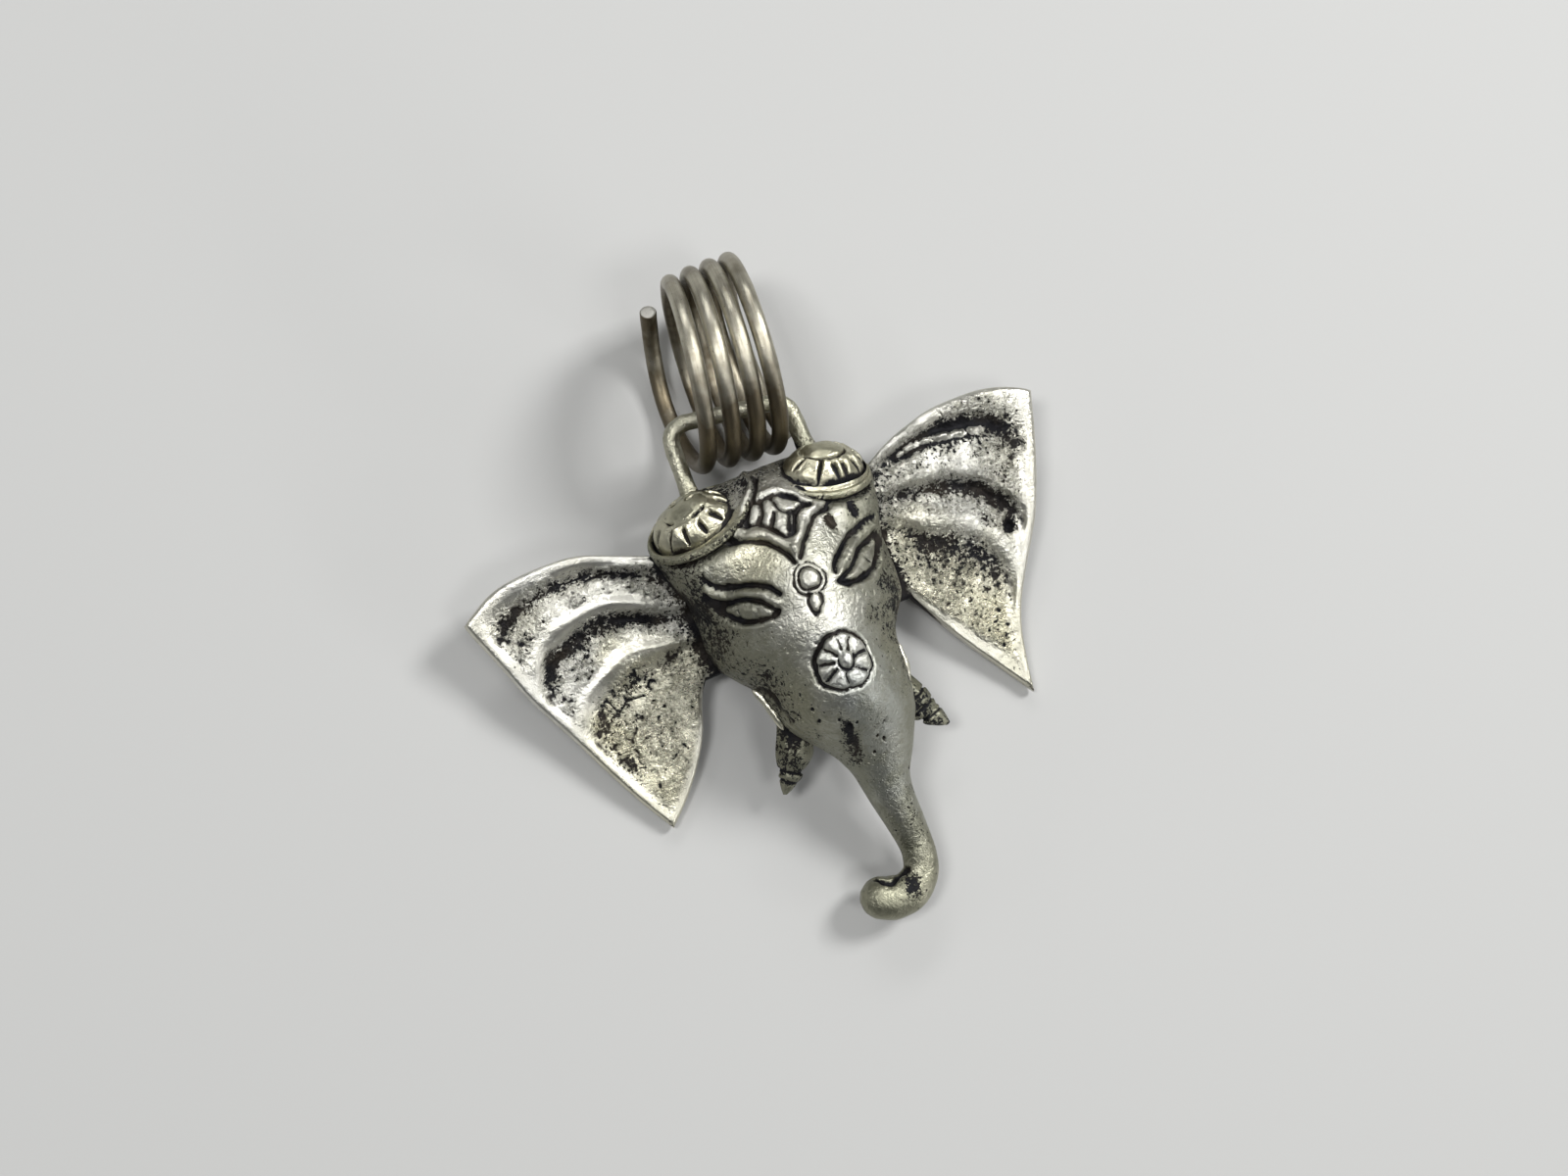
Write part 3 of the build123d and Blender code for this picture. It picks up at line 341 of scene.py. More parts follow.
# Stage, in metres and watts. Lamps. Columns: name, direction from the pendant (right, up and back
# of the camera), distance, size, power.
LAMPS = [
    ("key", (0.95, 0.75, 1.0), 0.50, (0.14, 0.12), 1.9),
    ("low", (0.45, -0.20, 1.0), 0.50, (0.12, 0.10), 0.45),
    ("over", (-0.28, 0.12, 1.0), 0.50, (0.13, 0.09), 1.10),
    ("top", (-0.20, 1.0, 0.60), 0.50, (0.28, 0.08), 0.6),
    ("left", (-1.0, 0.1, 0.50), 0.45, (0.05, 0.30), 0.13),
    ("right", (1.0, -0.4, 0.35), 0.45, (0.05, 0.30), 0.40),
]
LAMP_AIM = (0, 0, 0.006)
FLOOR_SIZE = 4.0
FLOOR_DROP = 0.00002  # just below the pendant, so that the two don't share a plane
FLOOR_COLOUR = (0.45, 0.45, 0.44, 1)
SKY_COLOUR = (0.9, 0.95, 1.0, 1)
SKY_STRENGTH = 0.09


# Curves and fields


def smooth(table, column, at):
    """Value of a table's column at a place along its first column, with no overshoot."""
    x = np.array([row[0] for row in table], float)
    y = np.array([row[column] for row in table], float)
    if x[0] > x[-1]:
        x, y = x[::-1], y[::-1]
    step = np.diff(x)
    slope = np.diff(y) / step
    tangent = np.zeros(len(x))
    tangent[0], tangent[-1] = slope[0], slope[-1]
    same_way = slope[:-1] * slope[1:] > 0
    mean = 2 * slope[:-1] * slope[1:] / np.where(same_way, slope[:-1] + slope[1:], 1.0)
    tangent[1:-1] = np.where(same_way, mean, 0.0)
    at = np.clip(np.asarray(at, float), x[0], x[-1])
    i = np.clip(np.searchsorted(x, at, side="right") - 1, 0, len(x) - 2)
    t = (at - x[i]) / step[i]
    return (
        (2 * t**3 - 3 * t**2 + 1) * y[i]
        + (t**3 - 2 * t**2 + t) * step[i] * tangent[i]
        + (3 * t**2 - 2 * t**3) * y[i + 1]
        + (t**3 - t**2) * step[i] * tangent[i + 1]
    )


def run_length(points):
    """Distance along a line of points, from the first to each."""
    return np.concatenate([[0], np.cumsum(np.linalg.norm(np.diff(points, axis=0), axis=1))])


def curve_through(points, soft=0.0):
    """A smooth curve through a short list of points, as a function of 0 to 1 along its length.

    Where soft is above 0, the corners between the points are rounded over that share of it.
    """
    points = np.array(points, float)
    run = run_length(points)
    table = [(s, *p) for s, p in zip(run / run[-1], points)]

    def curve(share):
        share = np.asarray(share, float)
        width = np.minimum(soft, np.minimum(share, 1 - share))
        offsets = np.linspace(-1, 1, 9) if soft else np.zeros(1)
        return sum(np.stack([smooth(table, k + 1, share + offset * width)
                             for k in range(points.shape[1])], axis=-1)
                   for offset in offsets) / len(offsets)

    return curve


def ease(value, low, high):
    """0 below low, 1 above high, smooth between. It falls where high is below low."""
    t = np.clip((np.asarray(value, float) - low) / (high - low), 0, 1)
    return t * t * (3 - 2 * t)


def between(value, low, high, soft):
    """1 between two values, falling to 0 outside them."""
    return ease(value, low - soft, low) * ease(value, high + soft, high)


def bell(value, width):
    """1 at 0, falling on both sides of it over a width."""
    return np.exp(-((value / width) ** 2))


def plan_length(offsets):
    return np.hypot(offsets[..., 0], offsets[..., 1])


def turn_from(angle, degrees):
    """Angles measured from a place on a circle, within half a turn to each side."""
    return (angle - math.radians(degrees) + math.pi) % (2 * math.pi) - math.pi


def full_turn(count):
    return np.linspace(0, 2 * math.pi, count, endpoint=False)


def grain(points, size, seed, octaves=1):
    """Smooth seeded noise of about -1 to 1, one value a point, with features of the given size."""
    cells = 32
    total, weight = 0.0, 0.0
    for octave in range(octaves):
        lattice = np.random.default_rng(seed + octave).uniform(-1, 1, (cells,) * 3)
        p = points / (size / 2**octave) + 7.3 * octave
        base = np.floor(p).astype(int)
        f = p - base
        w = f * f * (3 - 2 * f)
        value = 0.0
        for corner in range(8):
            bits = [(corner >> k) & 1 for k in range(3)]
            share = 1.0
            for k in range(3):
                share = share * (w[..., k] if bits[k] else 1 - w[..., k])
            i, j, m = [(base[..., k] + bits[k]) % cells for k in range(3)]
            value = value + share * lattice[i, j, m]
        total = total + value / 2**octave
        weight += 1 / 2**octave
    return 1.6 * total / weight


def roughened(points, way, depth, size, seed):
    """Points moved to and fro along a direction by seeded noise."""
    return points + depth * grain(points, size, seed, 2)[..., None] * way


def unit(v):
    v = np.asarray(v, float)
    return v / np.maximum(np.linalg.norm(v, axis=-1, keepdims=True), 1e-12)


def line_distance(plan, line):
    """Distance of plan points from a line through a few points, smooth between them."""
    count = max(2, 4 * (len(line) - 1) + 1)
    path = curve_through(line)(np.linspace(0, 1, count)) if len(line) > 2 else np.array(line)
    best = np.full(len(plan), np.inf)
    for a, b in zip(path[:-1], path[1:]):
        d = b - a
        t = np.clip(((plan - a) @ d) / (d @ d), 0, 1)
        best = np.minimum(best, np.linalg.norm(plan - a - t[:, None] * d, axis=1))
    return best


# Meshes as vertices and faces


def tube_mesh(rings):
    """A stack of closed rings with a flat fan at each end."""
    stations, points, _ = rings.shape
    i, j = np.meshgrid(np.arange(stations - 1), np.arange(points), indexing="ij")
    a, b = i * points + j, i * points + (j + 1) % points
    quads = np.stack([a, b, b + points, a + points], axis=-1).reshape(-1, 4)
    vertices = np.vstack([rings.reshape(-1, 3), rings[0].mean(0), rings[-1].mean(0)])
    end, last = stations * points, (stations - 1) * points
    j = np.arange(points)
    k = (j + 1) % points
    caps = np.vstack([
        np.stack([np.full(points, end), k, j], axis=-1),
        np.stack([np.full(points, end + 1), last + j, last + k], axis=-1),
    ])
    return vertices, [quads, caps]


def slab_mesh(front, back):
    """A sheet between two matching grids of points."""
    rows, columns, _ = front.shape
    under = rows * columns
    i, j = np.meshgrid(np.arange(rows - 1), np.arange(columns - 1), indexing="ij")
    a = i * columns + j
    quads = np.stack([a, a + 1, a + columns + 1, a + columns], axis=-1).reshape(-1, 4)
    edge = np.concatenate([
        np.arange(columns),
        np.arange(1, rows) * columns + columns - 1,
        (rows - 1) * columns + np.arange(columns - 2, -1, -1),
        np.arange(rows - 2, 0, -1) * columns,
    ])
    following = np.roll(edge, -1)
    sides = np.stack([edge, under + edge, under + following, following], axis=-1)
    vertices = np.vstack([front.reshape(-1, 3), back.reshape(-1, 3)])
    return vertices, [quads, under + quads[:, ::-1], sides]


def outwards(vertices, faces):
    """The faces, turned so that the mesh encloses a positive volume."""
    volume = 0.0
    for group in faces:
        first = vertices[group[:, 0]]
        for k in range(1, group.shape[1] - 1):
            second, third = vertices[group[:, k]], vertices[group[:, k + 1]]
            volume += np.einsum("ij,ij->i", first, np.cross(second, third)).sum()
    return faces if volume > 0 else [group[:, ::-1] for group in faces]


def make_object(name, vertices, faces):
    """A Blender object in metres from vertices in millimetres and groups of faces."""
    faces = outwards(vertices, faces)
    mesh = bpy.data.meshes.new(name)
    sizes = np.concatenate([np.full(len(g), g.shape[1]) for g in faces])
    corners = np.concatenate([g.ravel() for g in faces])
    mesh.vertices.add(len(vertices))
    mesh.vertices.foreach_set("co", ((vertices + ORIGIN) * MM).astype(np.float32).ravel())
    mesh.loops.add(len(corners))
    mesh.loops.foreach_set("vertex_index", corners.astype(np.int32))
    mesh.polygons.add(len(sizes))
    starts = np.concatenate([[0], np.cumsum(sizes)[:-1]])
    mesh.polygons.foreach_set("loop_start", starts.astype(np.int32))
    mesh.update(calc_edges=True)
    mesh.validate()
    piece = bpy.data.objects.new(name, mesh)
    bpy.context.scene.collection.objects.link(piece)
    return piece


def skin_normals(rings):
    """Outward normals of a stack of closed rings."""
    along = np.gradient(rings, axis=0)
    across = np.roll(rings, -1, axis=1) - np.roll(rings, 1, axis=1)
    normals = unit(np.cross(across, along))
    rise = rings[..., 2] - rings[..., 2].mean()
    return -normals if (normals[..., 2] * rise).mean() < 0 else normals


def with_caps(values, ends=(0, 0)):
    """Marks of the points of a tube, with those of the middles of its two ends."""
    return np.concatenate([np.ravel(values), ends])


# Head


def head_measures(y):
    """Aside, half width, crown, widest and back of the head at a place along it."""
    share = np.asarray(y, float) / HEAD_LENGTH
    scales = (HEAD_WIDTH, HEAD_WIDTH / 2, HEAD_DEPTH, HEAD_DEPTH, HEAD_DEPTH)
    return [smooth(HEAD_ROWS, k + 1, share) * scale for k, scale in enumerate(scales)]


def section(half, top, widest, back, peak, squareness):
    """Cross-section of the head or trunk, its front points evenly spaced along the skin."""
    fine = np.linspace(0, math.pi, 721)
    across = half * np.sign(np.cos(fine)) * np.abs(np.cos(fine)) ** (2 / peak)
    up = widest + (top - widest) * np.sin(fine)
    run = np.concatenate([[0], np.cumsum(np.hypot(np.diff(across), np.diff(up)))])
    at = np.linspace(0, run[-1], FRONT_POINTS, endpoint=False)
    rear = np.linspace(math.pi, 2 * math.pi, BACK_POINTS, endpoint=False)
    rear_across = half * np.sign(np.cos(rear)) * np.abs(np.cos(rear)) ** squareness
    rear_up = widest - (widest - back) * np.abs(np.sin(rear)) ** squareness
    return (
        np.concatenate([np.interp(at, run, across), rear_across]),
        np.concatenate([np.interp(at, run, up), rear_up]),
    )


def trunk_path(share):
    rows = [(i / (len(TRUNK_ROWS) - 1), *row) for i, row in enumerate(TRUNK_ROWS)]
    root = NECK_ALONG * HEAD_LENGTH
    radius = smooth(rows, 4, share) * TRUNK_THICKNESS / 2
    height = smooth(rows, 5, share) * (TRUNK_ROOT_HEIGHT - TRUNK_THICKNESS / 2)
    centre = (smooth(rows, 2, share) * TRUNK_LENGTH, root - smooth(rows, 1, share) * TRUNK_LENGTH)
    return centre, np.radians(smooth(rows, 3, share)), radius, height


def head_skin():
    """Plain rings of the head, running on into the trunk and its curl."""
    first = HEAD_ROWS[0][0] * HEAD_LENGTH
    last = HEAD_ROWS[-1][0] * HEAD_LENGTH
    rings = []
    crown = first - 0.5 * (1 - np.cos(np.linspace(0, math.pi / 2, 9)[:-1]))
    places = np.concatenate([crown, np.arange(first - 0.5, last, -GRID)])
    for y in places:
        centre, half, top, widest, back = head_measures(y)
        rounding = np.clip(1 - (y - last) / (first - last) / NECK_SHARE, 0, 1)
        across, up = section(half, top, widest, back, FACE_PEAK + (2 - FACE_PEAK) * rounding,
                             BACK_SQUARENESS + (1 - BACK_SQUARENESS) * rounding)
        rings.append(np.stack([centre + across, np.full_like(up, y), up], axis=-1))
    trunk = []
    for share in np.linspace(0, 1, int(TRUNK_LENGTH * 1.5 / GRID)):
        (x, y), heading, radius, height = trunk_path(share)
        across, up = section(radius, height + radius, height, height - radius, 2, 1)
        aside = np.array([-math.sin(heading), math.cos(heading), 0])
        trunk.append(np.array([x, y, 0]) + across[:, None] * aside + up[:, None] * [0, 0, 1])
    gap = rings[-1][0, 1] - trunk[0][0, 1]
    shares = np.linspace(0, 1, int(gap / GRID) + 1)[1:-1]
    neck = [(1 - share) * rings[-1] + share * trunk[0] for share in shares]
    skin = np.array(rings + neck + trunk)
    start, end = len(rings) - 10, len(rings) + len(neck) + 10
    for _ in range(NECK_SMOOTHINGS):
        before, after = skin[start - 1:end - 1], skin[start + 1:end + 1]
        skin[start:end] = (before + 2 * skin[start:end] + after) / 4
    return skin


ROSETTE_CENTRE = np.array([0.06, -6.95])
ROSETTE_RADIUS = 2.36
# Slots of the rosette. Columns: place (degrees in plan), depth, half width (mm).
ROSETTE_SLOTS = [
    (125, 1.2, 0.17), (166, 1.2, 0.15), (205, 1.1, 0.15), (259, 0.8, 0.11), (316, 0.7, 0.10),
    (5, 1.1, 0.13), (54, 0.8, 0.11), (83, 0.5, 0.09),
]
BINDI_CENTRE = (0.05, -0.03)
BINDI_RADIUS = 1.32


def rosette_height(plan):
    """Relief of the flower on the bridge of the trunk: groove, petals, slots and heart."""
    d = plan - ROSETTE_CENTRE
    angle = np.arctan2(d[:, 1], d[:, 0])
    radius = plan_length(d) / ROSETTE_RADIUS
    radius = radius * (1 + 0.025 * np.sin(3 * angle + 1) + 0.02 * np.sin(8 * angle + 2))
    petals = ease(radius, 0.20, 0.40) * ease(radius, 0.93, 0.80)
    height, from_slot = np.zeros(len(plan)), np.full(len(plan), 9.0)
    for place, depth, half in ROSETTE_SLOTS:
        arc = np.abs(turn_from(angle, place)) * radius * ROSETTE_RADIUS
        from_slot = np.minimum(from_slot, arc)
        height -= 0.26 * depth * bell(arc, half) * ease(radius, 0.24, 0.36) * petals
    height += 0.22 * petals * (0.55 + 0.45 * ease(from_slot, 0.0, 0.55))
    upper_left = 0.5 + 0.5 * np.cos(angle - math.radians(150))
    height -= (0.24 + 0.22 * upper_left) * bell(radius - 0.965, 0.035 + 0.045 * upper_left)
    height += 0.02 * bell(radius - 1.12, 0.10)
    heart = np.hypot((d[:, 0] - 0.18) * 1.15, (d[:, 1] - 0.10) * 0.85)
    height += 0.45 * ease(heart, 0.66, 0.25)
    lower = 0.5 - 0.5 * np.sin(angle - math.radians(20))
    return height - (0.05 + 0.22 * lower) * bell(heart - 0.74, 0.12)


def bindi_height(plan):
    """Relief of the bindi: a raised disc in an engraved circle, its lower left side deeper."""
    d = plan - np.array(BINDI_CENTRE)
    angle = np.arctan2(d[:, 1], d[:, 0])
    radius = plan_length(d) * (1 + 0.03 * np.sin(3 * angle))
    lower_left = 0.5 + 0.5 * np.cos(angle - math.radians(215))
    height = 0.05 * ease(radius, 1.22, 1.05)
    height -= (0.10 + 0.14 * lower_left) * bell(radius - BINDI_RADIUS, 0.10)
    height -= (0.12 + 0.24 * lower_left) * bell(radius - 0.93, 0.13)
    return height + 0.26 * ease(radius, 0.90, 0.50)


def face_height(plan):
    """Relief of the face at plan places."""
    flat = np.column_stack([plan, np.zeros(len(plan))])
    waver = np.stack([0.05 * grain(flat, 0.9, seed) + 0.035 * grain(flat, 0.35, seed + 1)
                      for seed in (181, 183)], axis=-1)
    force = 1 + 0.30 * grain(flat, 1.1, 185, 2)
    wavy = plan + waver
    height = np.zeros(len(plan))
    for rise, half, line in FACE_LINES:
        if rise < 0:
            rise, half = rise * GROOVE_DEPTH, half * GROOVE_WIDTH
        corners = np.array(line)
        reach = 3.5 * half
        near = np.all((wavy > corners.min(0) - reach) & (wavy < corners.max(0) + reach), axis=1)
        height[near] += rise * force[near] * bell(line_distance(wavy[near], line), half)
    for place, radius, depth in FACE_PITS:
        height -= depth * ease(plan_length(wavy - place), radius * 1.3, radius * 0.4)
    return height + rosette_height(wavy) + bindi_height(0.5 * wavy + 0.5 * plan)


def seated(points, facing):
    """Raises the skin to the rims of the bosses, so that they sit on it all round."""
    for side in (-1, 1):
        middle, first, second, outwards_axis = boss_axes(side)
        local = points - middle
        over = local @ outwards_axis
        radius = np.hypot(local @ first / BOSSES[side][3], local @ second / BOSSES[side][4])
        share = ease(radius, 1.55, 0.92) * ease(over, -5.5, -3.5)
        share = share * ease(facing @ outwards_axis, -0.1, 0.3)
        lift = np.maximum(-0.62 - over, 0) * share
        points = points + lift[:, None] * outwards_axis
    return points


def head_piece():
    """Vertices and faces of the head and trunk with their relief."""
    skin = head_skin()
    for _ in range(2):
        facing = skin_normals(skin).reshape(-1, 3)
        points = seated(skin.reshape(-1, 3), facing)
        skin = points.reshape(skin.shape)
    cheek = cheek_share(points)
    relief = engraving(points, facing)
    back = ease(facing[:, 2], 0.0, -0.3)
    height = relief + (0.03 + 0.04 * cheek) * grain(points, 1.3, 3, 2) * (1 - back)
    height -= 0.10 * cheek * ease(grain(points, 0.5, 11, 2), 0.40, 0.9) * (1 - back)
    height += 0.07 * back * grain(points, 3.0, 13)
    stain = 0.11 + 0.32 * cheek + 0.25 * back
    for place, size, reach, depth in FACE_STAINS:
        d = plan_length((points[:, :2] - place) / np.array(size))
        d = d + 0.15 * grain(points, 0.6 * min(size), 17, 2)
        stain += depth * ease(d, 1.0, 1.0 - reach) * (1 - back)
    marks = {"rough": 0.16 + 0.45 * cheek + 0.5 * back, "stain": stain,
             "cut": -relief / BLACK_DEPTH}
    marks = {key: with_caps(values) for key, values in marks.items()}
    points = points + facing * height[:, None]
    points[:, 2] = np.maximum(points[:, 2], 0)
    return *tube_mesh(points.reshape(skin.shape)), marks


def cheek_share(points):
    """How far a point lies on the pitted sides of the face, 0 on its ridge."""
    y = points[:, 1]
    centre, half, _, _, _ = head_measures(y)
    return ease(np.abs(points[:, 0] - centre) / half, 0.50, 0.95) * ease(y, -14, -9)


def engraving(points, facing):
    """Relief of the front of the face and of the end of the trunk."""
    front = ease(facing[:, 2], 0.05, 0.30) * ease(points[:, 2], 4.0, 6.0)
    height = np.zeros(len(points))
    face = (front > 0) & (points[:, 1] > -20)
    height[face] = face_height(points[face, :2]) * front[face]
    tip = (points[:, 1] < -22) & (points[:, 2] > 2.5)
    waver = 0.10 * grain(points[tip], 0.5, 187)
    d = line_distance(points[tip, :2] + waver[:, None], MOUTH_LINE)
    height[tip] -= 0.48 * bell(d, 0.20) * ease(points[tip, 2], 2.5, 3.5)
    return height


def hollow_piece():
    """The open hollow at the back of the head."""
    top_end = HEAD_ROWS[1][0] * HEAD_LENGTH - SHELL_WALL
    low_end = HEAD_ROWS[-3][0] * HEAD_LENGTH
    run_out = HOLLOW_RUN_OUT * HEAD_LENGTH
    angle = np.linspace(0, math.pi, 61)
    rings = []
    for y in np.linspace(top_end, low_end, 70):
        centre, half, top, widest, _ = head_measures(y)
        ending = 1 - np.clip((low_end + run_out - y) / run_out, 0, 1) ** 2
        inner = half - SHELL_WALL
        rise = HOLLOW_LOW_CEILING + (1 - HOLLOW_LOW_CEILING) * ending
        ceiling = widest + (top - HOLLOW_RIDGE_WALLS * SHELL_WALL - widest) * rise
        spring = widest * HOLLOW_SPRING
        across = centre + np.cos(angle) * inner
        up = spring + (ceiling - spring) * np.sin(angle)
        wall = np.linspace(spring, -SHELL_WALL, 16)[1:]
        ring_x = np.concatenate([across, np.repeat([centre - inner, centre + inner], len(wall))])
        ring_z = np.concatenate([up, wall, wall[::-1]])
        rings.append(np.stack([ring_x, np.full_like(ring_x, y), ring_z], axis=-1))
    rings = np.array(rings)
    away = unit(rings - rings.mean(axis=1, keepdims=True))
    rings = roughened(rings, away * [1, 0, 1], 0.16, 2.6, 21)
    vertices, faces = tube_mesh(rings)
    return vertices, faces, {"rough": np.full(len(vertices), 0.8),
                             "stain": np.full(len(vertices), 0.45)}


# Ears


def coons(bottom, top, left, right, across, along):
    """Points of a sheet spanned between four edges."""
    s, t = across[..., None], along[..., None]
    corners = ((1 - s) * (1 - t) * bottom(0.0) + s * (1 - t) * bottom(1.0)
               + (1 - s) * t * top(0.0) + s * t * top(1.0))
    return ((1 - t) * bottom(across) + t * top(across)
            + (1 - s) * left(along) + s * right(along) - corners)


def ear_sheet(side, across, place):
    """Plain sheet of an ear, and the share of the way from its top edge to its inner edge."""
    crests = [smooth(EAR_CRESTS[side], k, across) for k in (1, 2)]
    stops = [np.zeros_like(across), crests[0], crests[1], np.ones_like(across)]
    band = np.clip(np.floor(place), 0, 2).astype(int)
    low, high = np.choose(band, stops), np.choose(band + 1, stops)
    along = low + (place - band) * (high - low)
    edges = []
    for table in (EAR_TOP_EDGE, EAR_INNER_EDGE, EAR_OUTER_EDGE):
        corners = [(HEAD_WIDTH / 2 + out * EAR_REACH, up * EAR_HEIGHT, EAR_WALL + lift * EAR_LIFT)
                   for out, up, lift in table[side]]
        edges.append(curve_through(corners, EAR_EDGE_SOFT))
    top, inner, outer = edges

    def root(share):
        share = np.asarray(share)[..., None]
        return top(0.0) * (1 - share) + inner(0.0) * share

    return coons(top, inner, root, outer, across, along), along


def blurred(table, column, at, width):
    """A table's column, averaged over a width on both sides of each place."""
    offsets = np.linspace(-1.6, 1.6, 9)
    weights = np.exp(-(offsets**2))
    parts = [w * smooth(table, column, at + o * width) for o, w in zip(offsets, weights)]
    return sum(parts) / weights.sum()


def ear_piece(side):
    """Vertices, faces and marks of one ear."""
    root = np.linspace(-EAR_ROOT_GRIP / EAR_REACH, 0, 16)[:-1]
    across = np.concatenate([root, np.linspace(0, 0.94, 132),
                             1 - 0.06 * np.linspace(1, 0, 13)[1:] ** 1.6])
    place = np.concatenate([
        0.07 * np.linspace(0, 1, 7)[:-1] ** 1.5, np.linspace(0.07, 1, 56)[:-1],
        np.linspace(1, 2, 48)[:-1], np.linspace(2, 2.95, 90)[:-1],
        3 - 0.05 * np.linspace(1, 0, 10) ** 1.6,
    ])
    across, place = np.meshgrid(across, place)
    sheet, along = ear_sheet(side, np.maximum(across, 0), place)
    sheet[..., 0] += np.minimum(across, 0) * EAR_REACH
    flat = sheet * [1, 1, 0]
    to_top, to_inner = along * EAR_HEIGHT, (1 - along) * EAR_HEIGHT
    to_outer = (1 - across) * EAR_REACH
    to_edge = np.minimum(np.minimum(to_top, to_inner), to_outer)

    def noise(size, seed):
        return grain(flat, size, seed + side, 2)

    free = ease(place, 0.1, 0.5) * ease(place, 2.95, 2.6)
    bent = np.clip(place + 0.07 * free * noise(4.5, 51), 0, 3)
    fold = blurred(EAR_SECTION, 1, bent, 0.05) * smooth(EAR_FADE, 1, across)
    swell = noise(3.2, 41)
    crests = sum(bell(bent - crest + 0.04, 0.13) for crest in (1, 2))
    crests = crests * ease(across, 0.05, 0.30) * ease(across, 0.98, 0.75) * (1 + 0.5 * swell)
    crests = crests * EAR_CREST_SHARE[side]
    polish = np.zeros_like(across)
    for low, high in EAR_POLISHED[side]:
        band = between(bent + 0.06 * swell, low, high, 0.09)
        polish = np.maximum(polish, band * (EAR_CREST_SHARE[side] if low > 0.5 else 1.0))
    rim = EAR_RIM[side]
    polish = np.maximum.reduce([
        polish * ease(across, 0.05, 0.28), ease(to_outer, 2.2 * rim, 0.9 * rim),
        between(place, -0.1, EAR_POLISHED[side][0][1] - 0.04, 0.03),
        ease(to_inner, *EAR_LOWER_RIM[side]),
    ])
    rough = (1 - polish) * (0.75 + 0.5 * noise(1.5, 31))
    sponge = 0.07 * noise(0.48, 61) - 0.10 * ease(noise(0.7, 71), 0.2, 0.8)
    cracks = ease(fold, 0.45, 0.8) * ease(np.abs(noise(1.7, 77)), 0.10, 0.0)
    shade = 0.85 + 0.5 * noise(2.6, 55)
    if side == 1:
        # the thin glossy ridge inside the first valley, and the pit near the outer edge
        ridge_place = to_top - 2.4 - 1.0 * ease(across, 0.25, 0.60) - 0.15 * swell
        ridge = bell(ridge_place, 0.34) * between(across, 0.28, 0.64, 0.12)
        ridge = ridge * np.clip(0.9 + 0.6 * noise(0.6, 56), 0.3, 1.3)
        pit_out, pit_down = (across - 0.85) * EAR_REACH, (along - 0.47) * EAR_HEIGHT
        pit = np.exp(-(pit_out**2 + pit_down**2) / 0.30)
        under = bell(ridge_place - 0.62, 0.26) * between(across, 0.25, 0.66, 0.1)
        dark_band = 0.4 * between(place, 0.10, 0.42, 0.10) * ease(across, 0.15, 0.70)
        dark_band = np.maximum(dark_band + 0.25 * between(place, 0.4, 1.0, 0.3), 1.6 * under)
        shade = shade * (0.66 + 0.34 * across)
        bowl = np.exp(-(((across - 0.42) / 0.30) ** 2) - ((place - 2.35) / 0.28) ** 2)
        dark_band = np.maximum(dark_band, 0.80 * bowl) * (1 - np.minimum(ridge, 1))
    else:
        ridge, pit, dark_band = np.zeros((3, *across.shape))
        shade = shade - 0.16 * ease(place, 1.9, 2.4)
    rough = np.clip(rough * (1 - 0.6 * ridge), 0, 1)
    height = (0.14 * crests - EAR_FOLD_DEPTH * fold + rough * sponge - 0.20 * cracks
              + 0.60 * ridge - 0.80 * pit + 0.09 * swell * free
              + 0.015 * noise(0.9, 65))
    height += 0.10 * ease(to_outer, 1.6 * rim, 0.5 * rim) * ease(to_outer, 0.0, 0.3)
    round_off = EAR_EDGE_ROUND - np.sqrt(
        np.maximum(EAR_EDGE_ROUND**2 - np.maximum(EAR_EDGE_ROUND - to_edge, 0) ** 2, 0))
    front, back = sheet.copy(), sheet.copy()
    front[..., 2] += height - round_off
    back[..., 2] = np.maximum(
        back[..., 2] - EAR_WALL - EAR_FOLD_THROUGH * EAR_FOLD_DEPTH * fold + round_off
        + 0.06 * grain(flat, 2.4, 81 + side), 0)
    vertices, faces = slab_mesh(front * [side, 1, 1], back * [side, 1, 1])
    patch = 0.5 * ease(plan_length(flat[..., :2] - EAR_PATCH[side]), 1.8, 0.5)
    crud = 0.9 * ease(plan_length(flat[..., :2] - EAR_TIP_CRUD[side]), 1.1, 0.5)
    stain = (0.50 * shade * ease(fold, 0.30, 1.0) + 0.30 * ease(across, 0.12, -0.02) + patch
             + 0.5 * cracks + 0.18 * shade + 0.45 * dark_band) * (1 - 0.85 * polish)
    stain = np.maximum(stain - 1.2 * ridge + 1.5 * pit, crud)

    def both(values):
        return np.tile(values.ravel(), 2)

    hidden = np.repeat([0.0, 1.0], across.size)
    warm = ease(place + 0.4 * swell, 1.6, 2.3) * (1 - 0.5 * polish) + 0.3 * ease(across, 0.6, 0.9)
    marks = {"rough": both(rough), "stain": both(stain) * (1 - hidden) + 0.35 * hidden,
             "warm": both(0.64 * warm)}
    return vertices, faces, marks


# Bosses, tusks and loop


def boss_axes(side):
    """Middle and three directions of a boss: along it, across it and outwards."""
    middle, facing, long_axis = (np.array(row) for row in BOSSES[side][:3])
    facing = unit(facing)
    first = unit(long_axis - (long_axis @ facing) * facing)
    return middle, first, np.cross(facing, first), facing


